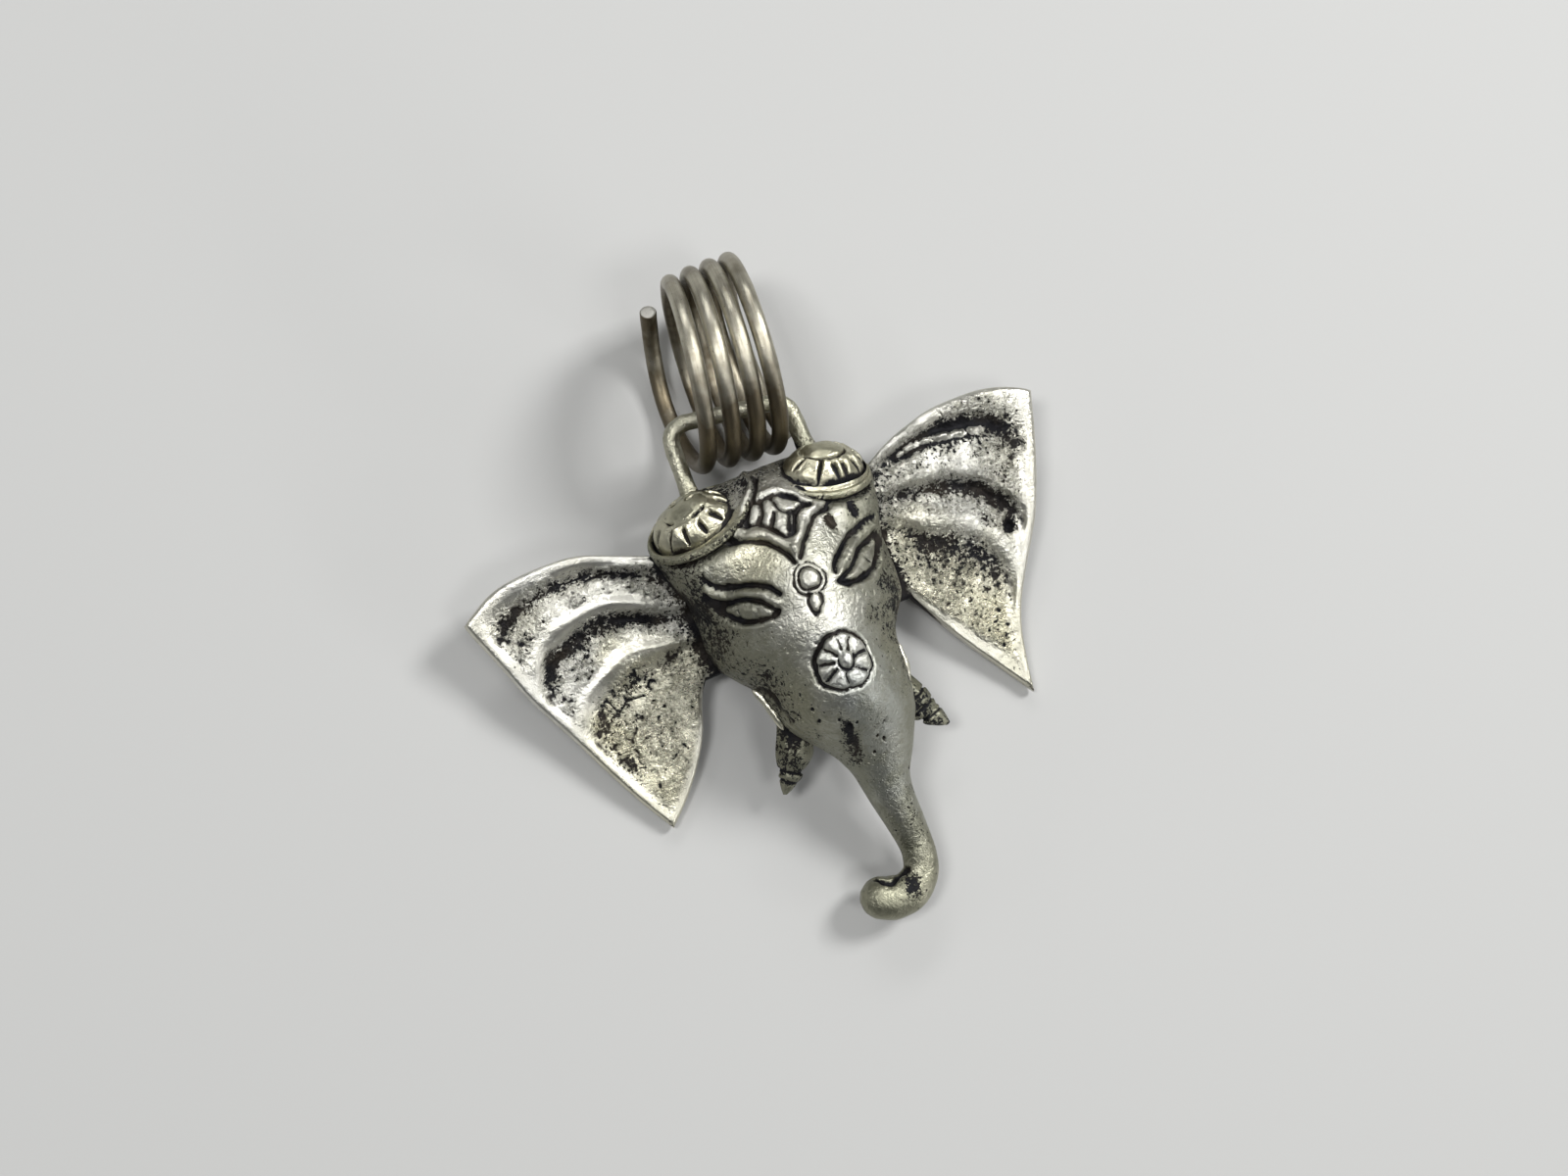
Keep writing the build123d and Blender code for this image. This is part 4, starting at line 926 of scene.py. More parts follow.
def boss_piece(side):
    """Vertices, faces and marks of one domed boss: rolled rim, groove, petals and a cap, with painted
    shadow under the rim and painted shade on the cap.
    """
    middle, first, second, facing = boss_axes(side)
    half_length, half_width = BOSSES[side][3:]
    outline = curve_through(BOSS_FOOT + BOSS_PROFILE[side])(np.linspace(0, 1, 150))
    angle = full_turn(280)
    share, rise = outline[:, :1], outline[:, 1:]
    base, tilt, widening = BOSS_GROOVE[side]
    groove = base + tilt * np.cos(angle) + widening * np.cos(angle) ** 2
    wander = np.stack([share * np.cos(angle), share * np.sin(angle), 0 * share + 0 * angle], -1)
    top = rise > -0.1
    waver = grain(wander, 0.30, 87 + side, 2)
    share = share + 0.014 * waver * top
    reach = share * (half_length + half_width) / 2
    front = 0.35 + 0.65 * ease(np.cos(angle - math.radians(BOSS_FRONT[side])), -0.3, 0.5)
    rng = np.random.default_rng(95 + side)
    slots, from_slot = np.zeros_like(share), np.full_like(share, 9.0)
    beside_slot = np.zeros_like(share)
    for place, inner, outer in BOSS_SLOTS[side]:
        arc = (turn_from(angle, place) + rng.uniform(-0.4, 0.4) * (share - 0.6)) * reach
        along = (2 * share - inner - outer) / (outer - inner)
        width = rng.uniform(0.15, 0.24) * np.sqrt(np.maximum(1 - along**2, 0.01))
        slots = np.maximum(slots, bell(arc, width) * (np.abs(along) < 1))
        from_slot = np.minimum(from_slot, np.abs(arc))
        beside_slot += bell(arc - 0.34, 0.16) * between(along, -0.8, 0.8, 0.3)
    petals = between(share, 0.46, 0.75, 0.03) * top
    rings = (1.1 + 0.7 * waver) * bell(share - BOSS_GROOVE_AT, 0.042) * top
    cap_line = bell(share - 0.40 - 0.03 * waver, 0.024) * top * front
    rings = np.maximum(rings, (0.6 + 1.2 * waver) * cap_line)
    cut = np.maximum(slots, np.clip(rings, 0, 1))
    height = (rise + 0.14 * ease(from_slot, 0.0, 0.8) * petals + 0.12 * beside_slot * petals
              - 0.42 * slots - 0.34 * rings)
    inside = share / BOSS_GROOVE_AT * groove
    beyond = groove + (share - BOSS_GROOVE_AT) * (1 - groove) / 0.21
    moved = np.where(share < BOSS_GROOVE_AT, inside, beyond)
    share = np.where(rise < -0.17, share, moved)
    along = share * half_length * np.cos(angle)
    across = share * half_width * np.sin(angle)
    points = (middle + along[..., None] * first + across[..., None] * second
              + height[..., None] * facing)
    vertices, faces = tube_mesh(roughened(points, facing, 0.05, 1.1, 91 + side))
    # painted shadow: the foot below the rim is made black through the cut mark
    under = ease(rise, -0.22, -0.42) + 0 * share
    rim = ease(share, 0.86, 1.0) * BOSS_GRIME[side]
    # painted shade: the cap is dulled to a darker olive; the rim's dullness and stain are grime
    marks = {"cut": np.maximum(cut, under), "dull": 0.25 * ease(share, 0.50, 0.36) + 0.5 * rim,
             "stain": 0.12 + 0.65 * rim, "rough": 0.8 * rim}
    marks = {key: with_caps(values, values[[0, -1], 0]) for key, values in marks.items()}
    return vertices, faces, marks


def tusk_piece(side):
    """Vertices, faces and marks of one short hand-cut tusk with grooves round it."""
    aside, along, height = TUSK_BASE
    aim = unit(TUSK_AIM[side])
    centre = head_measures(along * HEAD_LENGTH)[0]
    base = np.array([centre + side * aside * HEAD_WIDTH / 2, along * HEAD_LENGTH,
                     height * HEAD_DEPTH])
    across = unit(np.cross(aim, (0, 0, 1)))
    up = np.cross(across, aim)
    angle = full_turn(64)
    facet = 0.84 / np.maximum(np.cos((angle % (math.pi / 3)) - math.pi / 6), 0.84)
    rings, cuts = [], []
    for reach in np.linspace(TUSK_ROWS[0][0], TUSK_ROWS[-1][0], 110):
        size, inwards = smooth(TUSK_ROWS, 1, reach), smooth(TUSK_ROWS, 2, reach)
        shift = np.array([-side * inwards * TUSK_WIDTH / 2, 0, 0])
        middle = base + reach * TUSK_LENGTH * aim + shift
        slanted = reach + 0.03 * np.cos(angle)
        cut = sum(bell(slanted - ring, 0.016) for ring in TUSK_GROOVES[side])
        scale = size * facet * (1.05 - 0.16 * cut)
        rings.append(middle + (np.cos(angle) * scale * TUSK_WIDTH / 2)[:, None] * across
                     + (np.sin(angle) * scale * TUSK_THICKNESS / 2)[:, None] * up)
        cuts.append(cut)
    vertices, faces = tube_mesh(roughened(np.array(rings), up, 0.04, 0.9, 101 + side))
    mottle = grain(vertices, 0.9, 105 + side, 2)
    return vertices, faces, {"cut": with_caps(cuts), "stain": 0.45 + ease(mottle, -0.25, 0.25),
                             "rough": 0.2 + 0.1 * mottle}


def wire_rings(line, radius, sides, reference):
    """Round sections square to a line; reference gives a direction that isn't along it."""
    tangent = unit(np.gradient(line, axis=0))
    first = unit(reference - np.sum(reference * tangent, axis=1)[:, None] * tangent)
    second = np.cross(tangent, first)
    angle = full_turn(sides)
    radius = np.broadcast_to(radius, (len(line),))[:, None, None]
    circle = (np.cos(angle)[None, :, None] * first[:, None]
              + np.sin(angle)[None, :, None] * second[:, None])
    return line[:, None] + radius * circle, circle


def lip_piece(side):
    """The thin lip of the shell above a tusk."""
    line = curve_through(LIP_LINE[side])(np.linspace(0, 1, 60))
    share = np.linspace(-1, 1, 60)
    radius = LIP_WIDTH / 2 * np.sqrt(np.maximum(1 - share**4, 0.02))
    radius = radius * (1 + 0.2 * grain(line, 0.9, 171 + side))
    rings, _ = wire_rings(line, radius, 16, np.array([0.0, 0.0, 1.0]))
    vertices, faces = tube_mesh(rings)
    return vertices, faces, {"warm": np.full(len(vertices), 0.5)}


CROWN_Y = HEAD_ROWS[0][0] * HEAD_LENGTH
BAR_MIDDLE = np.array([BAR_ASIDE, CROWN_Y + LOOP_REACH, COIL_OUTER / 2 + BAR_RISE])


def rounded_path(corners, radius, step):
    """Points along straight runs joined by arcs."""
    corners = [np.array(c, float) for c in corners]
    path = [corners[0]]
    for before, corner, after in zip(corners, corners[1:], corners[2:]):
        a, b = unit(before - corner), unit(after - corner)
        turn = math.acos(np.clip(a @ b, -1, 1))
        cut = radius / math.tan(turn / 2)
        start, end = corner + a * cut, corner + b * cut
        bend = corner * 0.86 + 0.14 * (start + end) / 2
        for t in np.linspace(0, 1, 14):
            path.append((1 - t) ** 2 * start + 2 * t * (1 - t) * bend + t**2 * end)
    path.append(corners[-1])
    path = np.array(path)
    run = run_length(path)
    at = np.linspace(0, run[-1], int(run[-1] / step))
    return np.stack([np.interp(at, run, path[:, k]) for k in range(3)], axis=-1)


def loop_piece():
    """The wire loop soldered to the crown."""
    slant = math.radians(LOOP_SLANT)
    half_bar = LOOP_WIDTH / 2 * np.array([math.cos(slant), -math.sin(slant), 0])
    left, right = BAR_MIDDLE - half_bar, BAR_MIDDLE + half_bar
    foot_y = CROWN_Y - LOOP_GRIP
    left_foot = (left[0] - LOOP_SPLAY, foot_y, left[2] - LOOP_DROP)
    right_foot = (right[0] + LOOP_SPLAY, foot_y, right[2] - LOOP_DROP)
    line = rounded_path([left_foot, left, right, right_foot], LOOP_CORNER, GRID)
    radius = LOOP_WIRE / 2 * (1.06 + 0.05 * grain(line, 1.6, 111, 2))
    foot = ease(line[:, 1], CROWN_Y + 1.1, CROWN_Y - 0.5)
    right_leg = BAR_MIDDLE[0] + np.array([3.2, 4.6])
    radius = radius * (1 + 0.22 * foot) * (1 + 0.10 * ease(line[:, 0], *right_leg))
    rings, circle = wire_rings(line, radius, 26, np.array([0.0, 0.15, 1.0]))
    vertices, faces = tube_mesh(roughened(rings, circle, 0.03, 0.7, 121))
    near_foot = ease(vertices[:, 1], CROWN_Y + 2.0, CROWN_Y)
    stain = 0.12 + 0.4 * near_foot + 0.22 * ease(vertices[:, 0], *right_leg)
    return vertices, faces, {"rough": 0.15 + 0.3 * near_foot, "stain": stain}


# Coil

COIL_TILT = math.radians(COIL_SLANT)
COIL_AXIS = np.array([math.cos(COIL_TILT), -math.sin(COIL_TILT), 0])
COIL_OUTWARDS = np.array([math.sin(COIL_TILT), math.cos(COIL_TILT), 0])
COIL_CENTRE = np.array([
    BAR_MIDDLE[0],
    CROWN_Y + COIL_CLEARANCE + COIL_OUTER / 2 + 2 * COIL_PITCH * math.sin(COIL_TILT),
    COIL_OUTER / 2,
])


def coil_line():
    first, last = COIL_ROWS[0][0], COIL_ROWS[-1][0]
    turns = np.linspace(first, last, int((last - first) * COIL_STEPS_PER_TURN) + 1)
    angle = math.pi - 2 * math.pi * turns
    out = np.cos(angle)
    along = COIL_SHIFT + (turns + smooth(COIL_ROWS, 1, turns)) * COIL_PITCH
    along = along * (1 - COIL_FAN * out) + COIL_LEAN * out
    along = along + 0.03 * np.sin(2.3 * angle + 1) * ease(turns, 0, 0.5)
    radius = smooth(COIL_ROWS, 2, turns) * (COIL_OUTER - COIL_WIRE) / 2
    return (COIL_CENTRE + along[:, None] * COIL_AXIS
            + (radius * out)[:, None] * COIL_OUTWARDS
            + (radius * np.sin(angle))[:, None] * np.array([0, 0, 1]))


def from_coil_axis(points):
    """Offsets of points from the nearest places on the coil's axis."""
    offsets = points - COIL_CENTRE
    return offsets - (offsets @ COIL_AXIS)[:, None] * COIL_AXIS


def coil_piece():
    """The coiled bail: hand-wound wire with a filed end and a plain one."""
    line = coil_line()
    radius = COIL_WIRE / 2 * (1 + 0.012 * grain(line, 2.5, 131, 2))
    rings, circle = wire_rings(line, radius, WIRE_SIDES, unit(from_coil_axis(line)))
    rings = roughened(rings, circle, 0.008, 1.2, 141)
    ends = []
    for ring, step in ((rings[0], line[0] - line[1]), (rings[-1], line[-1] - line[-2])):
        middle = ring.mean(0)
        ends.append(np.array([
            middle + (ring - middle) * scale + unit(step) * push
            for scale, push in ((0.55, 0.10), (0.86, 0.09), (0.96, 0.05))
        ]))
    return tube_mesh(np.concatenate([ends[0], rings, ends[1][::-1]]))


# Joining the casting


def apply_modifiers(piece):
    """Turns what a piece's modifiers make into its own mesh."""
    bpy.context.view_layer.update()
    shown = piece.evaluated_get(bpy.context.evaluated_depsgraph_get())
    mesh = bpy.data.meshes.new_from_object(shown)
    piece.modifiers.clear()
    piece.data = mesh


def combine(body, others, operation):
    """Adds or cuts away other pieces, and removes them."""
    for other in others:
        step = body.modifiers.new("combine", "BOOLEAN")
        step.operation = operation
        step.solver = "MANIFOLD"
        step.object = other
    apply_modifiers(body)
    for other in others:
        bpy.data.objects.remove(other)


def reduce_to(piece, triangles):
    """Brings a mesh down to a number of triangles, keeping its finest relief."""
    piece.data.calc_loop_triangles()
    piece.modifiers.new("split", "TRIANGULATE")
    fewer = piece.modifiers.new("fewer", "DECIMATE")
    fewer.ratio = min(1.0, triangles / len(piece.data.loop_triangles))
    apply_modifiers(piece)


def fetched(items, key, width, kind=np.float32):
    values = np.empty(len(items) * width, kind)
    items.foreach_get(key, values)
    return values.reshape(-1, width)


def mesh_arrays(mesh):
    """Places in millimetres from the bindi, normals and edges of a mesh."""
    return (fetched(mesh.vertices, "co", 3).astype(float) / MM - ORIGIN,
            fetched(mesh.vertex_normals, "vector", 3).astype(float),
            fetched(mesh.edges, "vertices", 2, np.int32))


def diffuse(values, edges, rounds):
    """Averages vertex values with their neighbours, a number of times."""
    count = len(values)
    degree = np.bincount(edges.ravel(), minlength=count)
    a, b = edges[:, 0], edges[:, 1]
    for _ in range(rounds):
        columns = []
        for k in range(values.shape[1]):
            total = np.bincount(a, values[b, k], count) + np.bincount(b, values[a, k], count)
            columns.append(0.5 * values[:, k] + 0.5 * total / degree)
        values = np.stack(columns, axis=1)
    return values


def set_mark(mesh, name, values):
    layer = mesh.attributes.new(name, "FLOAT", "POINT")
    layer.data.foreach_set("value", np.clip(values, 0, 1).astype(np.float32))


def nearest_marks(points, sources):
    """Each point's nearest source vertex, as source number and vertex number."""
    starts = np.concatenate([[0], np.cumsum([len(s) for s in sources])])
    tree = kdtree.KDTree(int(starts[-1]))
    for index, p in enumerate(np.concatenate(sources)):
        tree.insert(p, index)
    tree.balance()
    found = np.array([tree.find(p)[1] for p in points])
    which = np.searchsorted(starts, found, side="right") - 1
    return which, found - starts[which]


MARKS = ("rough", "stain", "cut", "warm", "cool", "dull")


def casting():
    """The soldered casting as one piece with its masks."""
    shapes = {
        "head": head_piece(), "ear_left": ear_piece(-1), "ear_right": ear_piece(1),
        "boss_left": boss_piece(-1), "boss_right": boss_piece(1),
        "tusk_left": tusk_piece(-1), "tusk_right": tusk_piece(1), "loop": loop_piece(),
        "lip_left": lip_piece(-1), "lip_right": lip_piece(1),
        "hollow": hollow_piece(),
    }
    names = list(shapes)
    pieces = [make_object(name, *shapes[name][:2]) for name in names]
    body = pieces[0]
    combine(body, pieces[1:-1], "UNION")
    combine(body, pieces[-1:], "DIFFERENCE")
    reduce_to(body, CASTING_TRIANGLES)
    body.name = "casting"
    points, normals, edges = mesh_arrays(body.data)
    which, vertex = nearest_marks(points, [shapes[name][0] for name in names])
    marks = np.zeros((len(points), len(MARKS)))
    for k, name in enumerate(names):
        here = which == k
        for column, key in enumerate(MARKS):
            if key in shapes[name][2]:
                marks[here, column] = shapes[name][2][key][vertex[here]]
    marks[:, 3:] += tints(points, np.array(names)[which])
    marks = diffuse(marks, edges, MARK_SMOOTHINGS)
    fine, middle, coarse = (
        np.sum((points - diffuse(points, edges, rounds)) * normals, axis=1)
        for rounds in RELIEF_SMOOTHINGS
    )
    for column, key in enumerate(MARKS):
        set_mark(body.data, key, marks[:, column])
    set_mark(body.data, "proud", 0.5 + middle * 2.5 + coarse * 0.8)
    set_mark(body.data, "sunk", -fine * 12 - middle * 5 - 0.6 * coarse)
    return body


def tints(points, part):
    """How yellowish, how bluish and how dull and olive the silver is, in three columns. On the head the
    first also paints a highlight, and the last paints shade and a highlight.
    """
    x, y, _ = points.T
    on_head, on_loop = part == "head", part == "loop"
    on_boss, on_tusk = np.char.startswith(part, "boss"), np.char.startswith(part, "tusk")
    # yellowish: bosses, loop, tusks, the end of the trunk, a painted highlight on the forehead and a
    # patch on a cheek
    warm = 0.80 * on_boss + 0.60 * on_loop
    warm += 0.45 * on_tusk
    # the second term is a painted highlight, a yellowish glow on the left forehead bump
    warm += on_head * (0.7 * ease(y, -19, -25) + 0.80 * ease(np.hypot(x + 3.4, y - 3.0), 3.4, 1.0))
    warm += on_head * 0.6 * ease(np.hypot(x + 4.6, (y + 9.0) / 1.6), 2.4, 0.6)
    warm += 0.15 * grain(points, 5.0, 151, 2)
    # bluish: the polished bridge and trunk
    ridge = ease(np.abs(x - 0.8), 4.5, 1.5) * between(y, -18.0, -6.0, 3.0)
    cool = on_head * ridge * (0.7 + 0.3 * grain(points, 3.0, 161))
    # dull and olive: the whole head a little, the bosses, the loop and the tusks; on the head also
    # painted shade and a painted highlight
    centre, half, _, _, _ = head_measures(y)
    shaded_sides = ease(np.abs(x - centre) / half, 0.25, 0.85)
    bridge = ease(np.hypot((x + 0.3) / 2.6, (y + 5.5) / 5.0), 1.3, 0.5)
    # painted shade: darker toward the sides of the face and down the lower trunk; the bridge is left
    # less dull
    dull = on_head * (0.45 + 0.36 * shaded_sides + 0.25 * ease(y, -13, -18) - 0.36 * bridge)
    dull += 0.28 * on_boss + 0.44 * on_loop
    dull += 1.0 * on_tusk
    dull -= 0.30 * on_head * ease(y, 2.5, 5.0) * ease(np.abs(x), 4.5, 2.5)
    # painted highlight: less dull on the left forehead bump
    dull -= 0.35 * on_head * ease(np.hypot((x + 4.6) / 3.2, (y - 3.0) / 1.6), 1.2, 0.5)
    dull += (0.05 + 0.10 * on_head) * grain(points, 2.5, 155, 2)
    return np.stack([warm, cool, dull], axis=1)


# Materials


class Nodes:
    """A new material, and short calls for building its nodes."""

    def __init__(self, name):
        self.material = bpy.data.materials.new(name)
        self.material.use_nodes = True
        self.tree = self.material.node_tree
        self.tree.nodes.clear()

    def add(self, kind, inputs, **settings):
        node = self.tree.nodes.new(kind)
        for key, value in settings.items():
            setattr(node, key, value)
        for key, value in inputs.items():
            if isinstance(value, bpy.types.NodeSocket):
                self.tree.links.new(value, node.inputs[key])
            else:
                node.inputs[key].default_value = value
        return node

    def math(self, operation, a, b=0.0, clamp=False):
        return self.add("ShaderNodeMath", {0: a, 1: b}, operation=operation,
                        use_clamp=clamp).outputs[0]

    def times(self, a, b):
        return self.math("MULTIPLY", a, b)

    def plus(self, a, b, clamp=False):
        return self.math("ADD", a, b, clamp)

    def minus(self, a, b):
        return self.math("SUBTRACT", a, b)

    def most(self, a, b, clamp=False):
        return self.math("MAXIMUM", a, b, clamp)

    def blend(self, a, a_share, b, b_share):
        return self.plus(self.times(a, a_share), self.times(b, b_share))

    def mix(self, share, a, b):
        return self.add("ShaderNodeMix", {0: share, 6: a, 7: b}, data_type="RGBA").outputs[2]

    def remap(self, value, low, high, to_low=0.0, to_high=1.0):
        return self.add("ShaderNodeMapRange", {
            "Value": value, "From Min": low, "From Max": high, "To Min": to_low, "To Max": to_high,
        }).outputs[0]

    def place(self):
        return self.add("ShaderNodeTexCoord", {}).outputs["Object"]

    def noise(self, place, scale, detail=2.0, roughness=0.5, distortion=0.0):
        return self.add("ShaderNodeTexNoise", {
            "Vector": place, "Scale": scale, "Detail": detail, "Roughness": roughness,
            "Distortion": distortion,
        }).outputs["Fac"]

    def mark(self, name):
        return self.add("ShaderNodeAttribute", {}, attribute_name=name).outputs["Fac"]

    def bump(self, relief, strength, depth):
        return self.add("ShaderNodeBump", {
            "Height": relief, "Strength": strength, "Distance": depth,
        }).outputs[0]

    def surface(self, inputs):
        """Ends the material with a shader, and gives it back."""
        shader = self.add("ShaderNodeBsdfPrincipled", inputs).outputs[0]
        self.add("ShaderNodeOutputMaterial", {"Surface": shader})
        return self.material


SILVER = (0.66, 0.65, 0.60, 1)
# olive of dull silver, also the colour of the painted shade on the head and the bosses
SILVER_OLIVE = (0.198, 0.198, 0.140, 1)
SILVER_WARM = (0.71, 0.665, 0.44, 1)
SILVER_BLUISH = (0.40, 0.44, 0.46, 1)
OXIDE = (0.010, 0.010, 0.012, 1)
OXIDE_BROWN = (0.035, 0.028, 0.020, 1)


def casting_material():
    """Cast silver: satin high spots, speckled oxide in the rough and sunk places, and painted shade and
    highlights from the dull mark and the hollows of the wrinkles.
    """
    n = Nodes("oxidised_silver")
    place = n.place()
    speckle = n.noise(place, 3400.0, 4.0, 0.62, 0.5)
    fine = n.noise(place, 7000.0, 2.0, 0.6)
    broad = n.noise(place, 240.0, 3.0, 0.55)
    patchy = n.noise(place, 800.0, 3.0, 0.6)
    wrinkles = n.noise(place, 1900.0, 3.0, 0.6, 0.8)
    brushed = n.add("ShaderNodeMapping", {
        "Vector": place, "Rotation": (0.0, 0.0, 0.6), "Scale": (0.12, 1.0, 1.0),
    }).outputs[0]
    scratches = n.noise(brushed, 9000.0, 2.0, 0.7)
    rough, stain, proud, dull_and_painted_light_mark, warm = (
        n.mark(name) for name in ("rough", "stain", "proud", "dull", "warm"))
    # Black share: the stain against the speckle, and whatever is cut or sunk
    cover = n.plus(stain, n.times(n.minus(patchy, 0.5), 0.55))
    cover = n.minus(cover, n.times(n.minus(proud, 0.5), 0.9))
    grainy = n.blend(speckle, 0.72, fine, 0.28)
    spots = n.remap(n.minus(cover, n.remap(grainy, 0.37, 0.63)), -0.05, 0.09)
    ragged = n.times(n.minus(speckle, 0.5), 0.8)
    lines = n.remap(n.plus(n.most(n.mark("cut"), n.mark("sunk")), ragged), 0.30, 0.62)
    cells = n.add("ShaderNodeTexVoronoi", {"Vector": place, "Scale": 1500.0}).outputs
    cell_value = n.add("ShaderNodeSeparateColor", {0: cells["Color"]}).outputs[0]
    pinholes = n.times(n.remap(cells["Distance"], 0.17, 0.10), n.remap(cell_value, 0.42, 0.36))
    pinholes = n.times(pinholes, n.remap(dull_and_painted_light_mark, 0.25, 0.65))
    creases = n.remap(n.math("ABSOLUTE", n.minus(wrinkles, 0.47)), 0.022, 0.004)
    creases = n.times(creases, n.remap(rough, 0.35, 0.9, 0.0, 0.75))
    black = n.most(n.most(spots, n.most(lines, pinholes)), creases, clamp=True)
    # Silver: dulled in patches, yellowish or bluish in places, and darker olive as painted shade in the
    # hollows of the wrinkle relief
    dull = n.plus(n.remap(patchy, 0.40, 0.70, 0.0, 0.30), n.times(stain, 0.4))
    # painted shade: darker olive where the wrinkle relief sinks
    shaded_hollows = n.times(n.remap(wrinkles, 0.52, 0.40), n.times(rough, 0.45))
    dull = n.plus(n.plus(dull, shaded_hollows), dull_and_painted_light_mark, clamp=True)
    metal = n.mix(n.times(warm, 0.75), SILVER, SILVER_WARM)
    metal = n.mix(n.times(n.mark("cool"), 0.60), metal, SILVER_BLUISH)
    metal = n.mix(n.times(dull, 0.85), metal, SILVER_OLIVE)
    oxide = n.mix(n.remap(broad, 0.45, 0.7), OXIDE, OXIDE_BROWN)
    roughness = n.remap(n.blend(scratches, 0.6, patchy, 0.4), 0.35, 0.68, 0.30, 0.45)
    roughness = n.minus(roughness, n.times(rough, 0.02))
    roughness = n.plus(roughness, n.times(dull_and_painted_light_mark, 0.07))
    roughness = n.minus(roughness, n.times(warm, 0.08))
    # Fine relief: cast grain, pits where it is black, and the brushing of the smooth parts
    grit = n.plus(n.blend(speckle, 0.40, fine, 0.2), n.times(wrinkles, 1.1))
    relief = n.times(grit, n.plus(n.times(rough, 1.25), 0.20))
    relief = n.minus(n.plus(relief, n.times(scratches, 0.09)), n.times(black, 0.14))
    return n.surface({
        "Base Color": n.mix(black, metal, oxide),
        "Roughness": n.plus(roughness, n.times(black, 0.22)),
        "Normal": n.bump(relief, 1.0, 0.00025),
        "Metallic": n.minus(1.0, n.times(black, 0.25)),
    })


WIRE_GREY = (0.40, 0.375, 0.295, 1)
WIRE_PALE = (0.74, 0.715, 0.60, 1)
# brown of the tarnish, also used as painted shade
WIRE_BROWN = (0.080, 0.058, 0.029, 1)


def wire_material():
    """Drawn silver wire with a satin skin and a yellowish brown tarnish, whose brown also paints shade
    on the inside of the coil and the flanks of its turns.
    """
    n = Nodes("tarnished_wire")
    place = n.place()
    drawn = n.add("ShaderNodeCombineXYZ", {
        0: n.times(n.mark("along"), 6.0), 1: n.times(n.mark("around"), 34.0), 2: 0.0,
    }).outputs[0]
    streaks = n.noise(drawn, 3.0, 4.0, 0.65)
    broad = n.noise(place, 330.0, 3.0, 0.6)
    fine = n.noise(place, 3600.0, 2.0, 0.6)
    # tarnish and painted shade: the hidden mark browns the inside of the coil and the flanks of its
    # turns
    tarnish_and_shade = n.plus(n.remap(broad, 0.38, 0.68, 0.08, 0.62), n.times(n.mark("hidden"), 0.9),
                     clamp=True)
    metal = n.mix(n.remap(streaks, 0.35, 0.7), WIRE_GREY, WIRE_PALE)
    colour = n.mix(n.times(tarnish_and_shade, 0.88), metal, WIRE_BROWN)
    colour = n.mix(n.mark("filed"), colour, SILVER)
    dots = n.remap(fine, 0.66, 0.74)
    return n.surface({
        "Base Color": n.mix(n.times(dots, 0.5), colour, OXIDE),
        "Roughness": n.plus(n.remap(streaks, 0.3, 0.7, 0.26, 0.38), n.times(tarnish_and_shade, 0.10)),
        "Metallic": 1.0,
        "Normal": n.bump(n.blend(streaks, 0.7, fine, 0.3), 0.35, 0.00006),
    })


def finish_piece(piece, material, node):
    """Smooth shading, material, body and the solid that the piece stands for."""
    piece.data.materials.clear()
    piece.data.materials.append(material)
    piece.data.polygons.foreach_set("use_smooth", np.ones(len(piece.data.polygons), bool))
    piece.data.polygons.foreach_set(
        "material_index", np.zeros(len(piece.data.polygons), np.int32))
    piece.data.update()
    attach(piece, "root")
    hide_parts(node)


def coil():
    """The coiled bail as one piece with its marks."""
    vertices, faces = coil_piece()
    piece = make_object("coil", vertices, faces)
    up_the_coil = vertices[:, 1] - CROWN_Y
    stations = (len(vertices) - 2) // WIRE_SIDES
    along = np.repeat(np.linspace(0, 1, stations), WIRE_SIDES)
    turn = np.tile(np.arange(WIRE_SIDES), stations) / WIRE_SIDES
    radial = np.linalg.norm(from_coil_axis(vertices), axis=1)
    inner = ease(radial, (COIL_OUTER - COIL_WIRE) / 2, COIL_OUTER / 2 - COIL_WIRE)
    # hidden: tarnish and painted shade, browner on the inside of the coil and on the flanks of the
    # turns, most on the flank toward the crown
    low, high = ease(up_the_coil, 8.5, 1.5), ease(up_the_coil, 13.5, 17.5)
    filed = np.zeros(len(vertices))
    filed[:2 * WIRE_SIDES] = filed[-2 * WIRE_SIDES - 2:] = 0.75
    marks = {"along": with_caps(along, [0, 1]), "filed": filed,
             "around": with_caps(np.abs(turn * 2 - 1), [0.5, 0.5]),
             "hidden": 0.6 * inner + 1.1 * low + 0.35 * high}
    for key, values in marks.items():
        set_mark(piece.data, key, values)
    return piece


# Stage


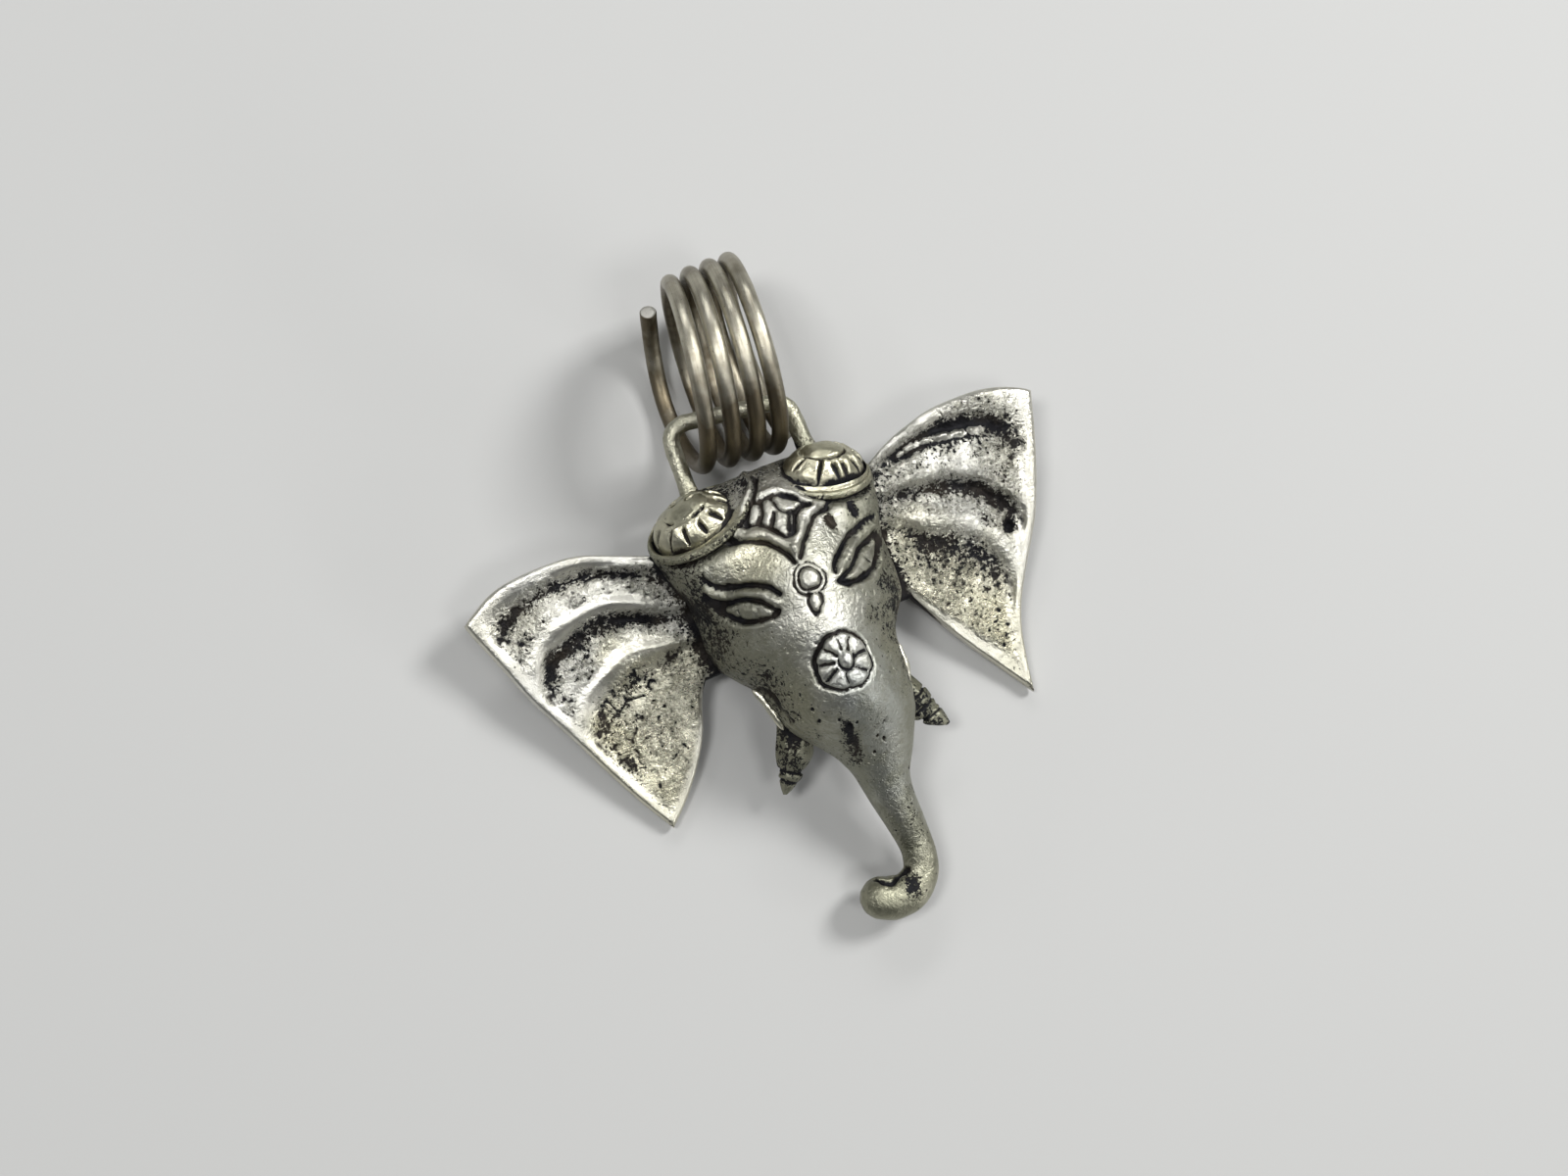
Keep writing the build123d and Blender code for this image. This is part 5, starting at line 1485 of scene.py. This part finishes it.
def stand(name, data, right, up, back, place):
    """Adds a lamp or the camera, which looks down its own backward direction."""
    item = bpy.data.objects.new(name, data)
    bpy.context.scene.collection.objects.link(item)
    item.matrix_world = Matrix(np.vstack([
        np.column_stack([right, up, back, place]), [0, 0, 0, 1]]).tolist())
    return item


def area_light(name, place, aim, size, power):
    data = bpy.data.lights.new(name, "AREA")
    data.shape = "RECTANGLE"
    data.size, data.size_y = size
    data.energy = power
    back = unit(np.array(place, float) - aim)
    right = unit(np.cross([0, 1, 0.001], back))
    stand(name, data, right, np.cross(back, right), back, place)


def camera_axes():
    """Right, up and backward directions of the camera that took the photograph."""
    left, below, roll = (math.radians(a) for a in (CAMERA_LEFT, CAMERA_BELOW, CAMERA_ROLL))
    back = np.array([-math.sin(left) * math.cos(below), -math.sin(below),
                     math.cos(left) * math.cos(below)])
    right = unit(np.cross([0, 1, 0], back))
    up = np.cross(back, right)
    c, s = math.cos(roll), math.sin(roll)
    return c * right - s * up, s * right + c * up, back


def stage():
    bpy.ops.mesh.primitive_plane_add(size=FLOOR_SIZE)
    floor = bpy.context.object
    floor.name = "floor"
    floor.location = (0, 0, -FLOOR_DROP)
    floor.data.materials.append(Nodes("floor").surface({
        "Base Color": FLOOR_COLOUR, "Roughness": 0.85,
    }))
    for name, direction, distance, size, power in LAMPS:
        way = unit(sum(share * axis for share, axis in zip(direction, camera_axes())))
        area_light(name, way * distance, LAMP_AIM, size, power)
    world = bpy.data.worlds.new("studio")
    bpy.context.scene.world = world
    world.use_nodes = True
    sky = world.node_tree.nodes["Background"].inputs
    sky["Color"].default_value = SKY_COLOUR
    sky["Strength"].default_value = SKY_STRENGTH
    bpy.context.scene.view_settings.view_transform = "Standard"


def camera():
    right, up, back = camera_axes()
    data = bpy.data.cameras.new("camera")
    data.sensor_width = SENSOR_WIDTH
    data.lens = CAMERA_DISTANCE * PIXELS_PER_MM * SENSOR_WIDTH / PICTURE_WIDTH
    data.clip_start, data.clip_end = CAMERA_SEES
    place = (np.array(CAMERA_AIM) + ORIGIN + back * CAMERA_DISTANCE) * MM
    bpy.context.scene.camera = stand("camera", data, right, up, back, place)


finish_piece(casting(), casting_material(), "cast_head")
finish_piece(coil(), wire_material(), "coil_bail")
stage()
camera()
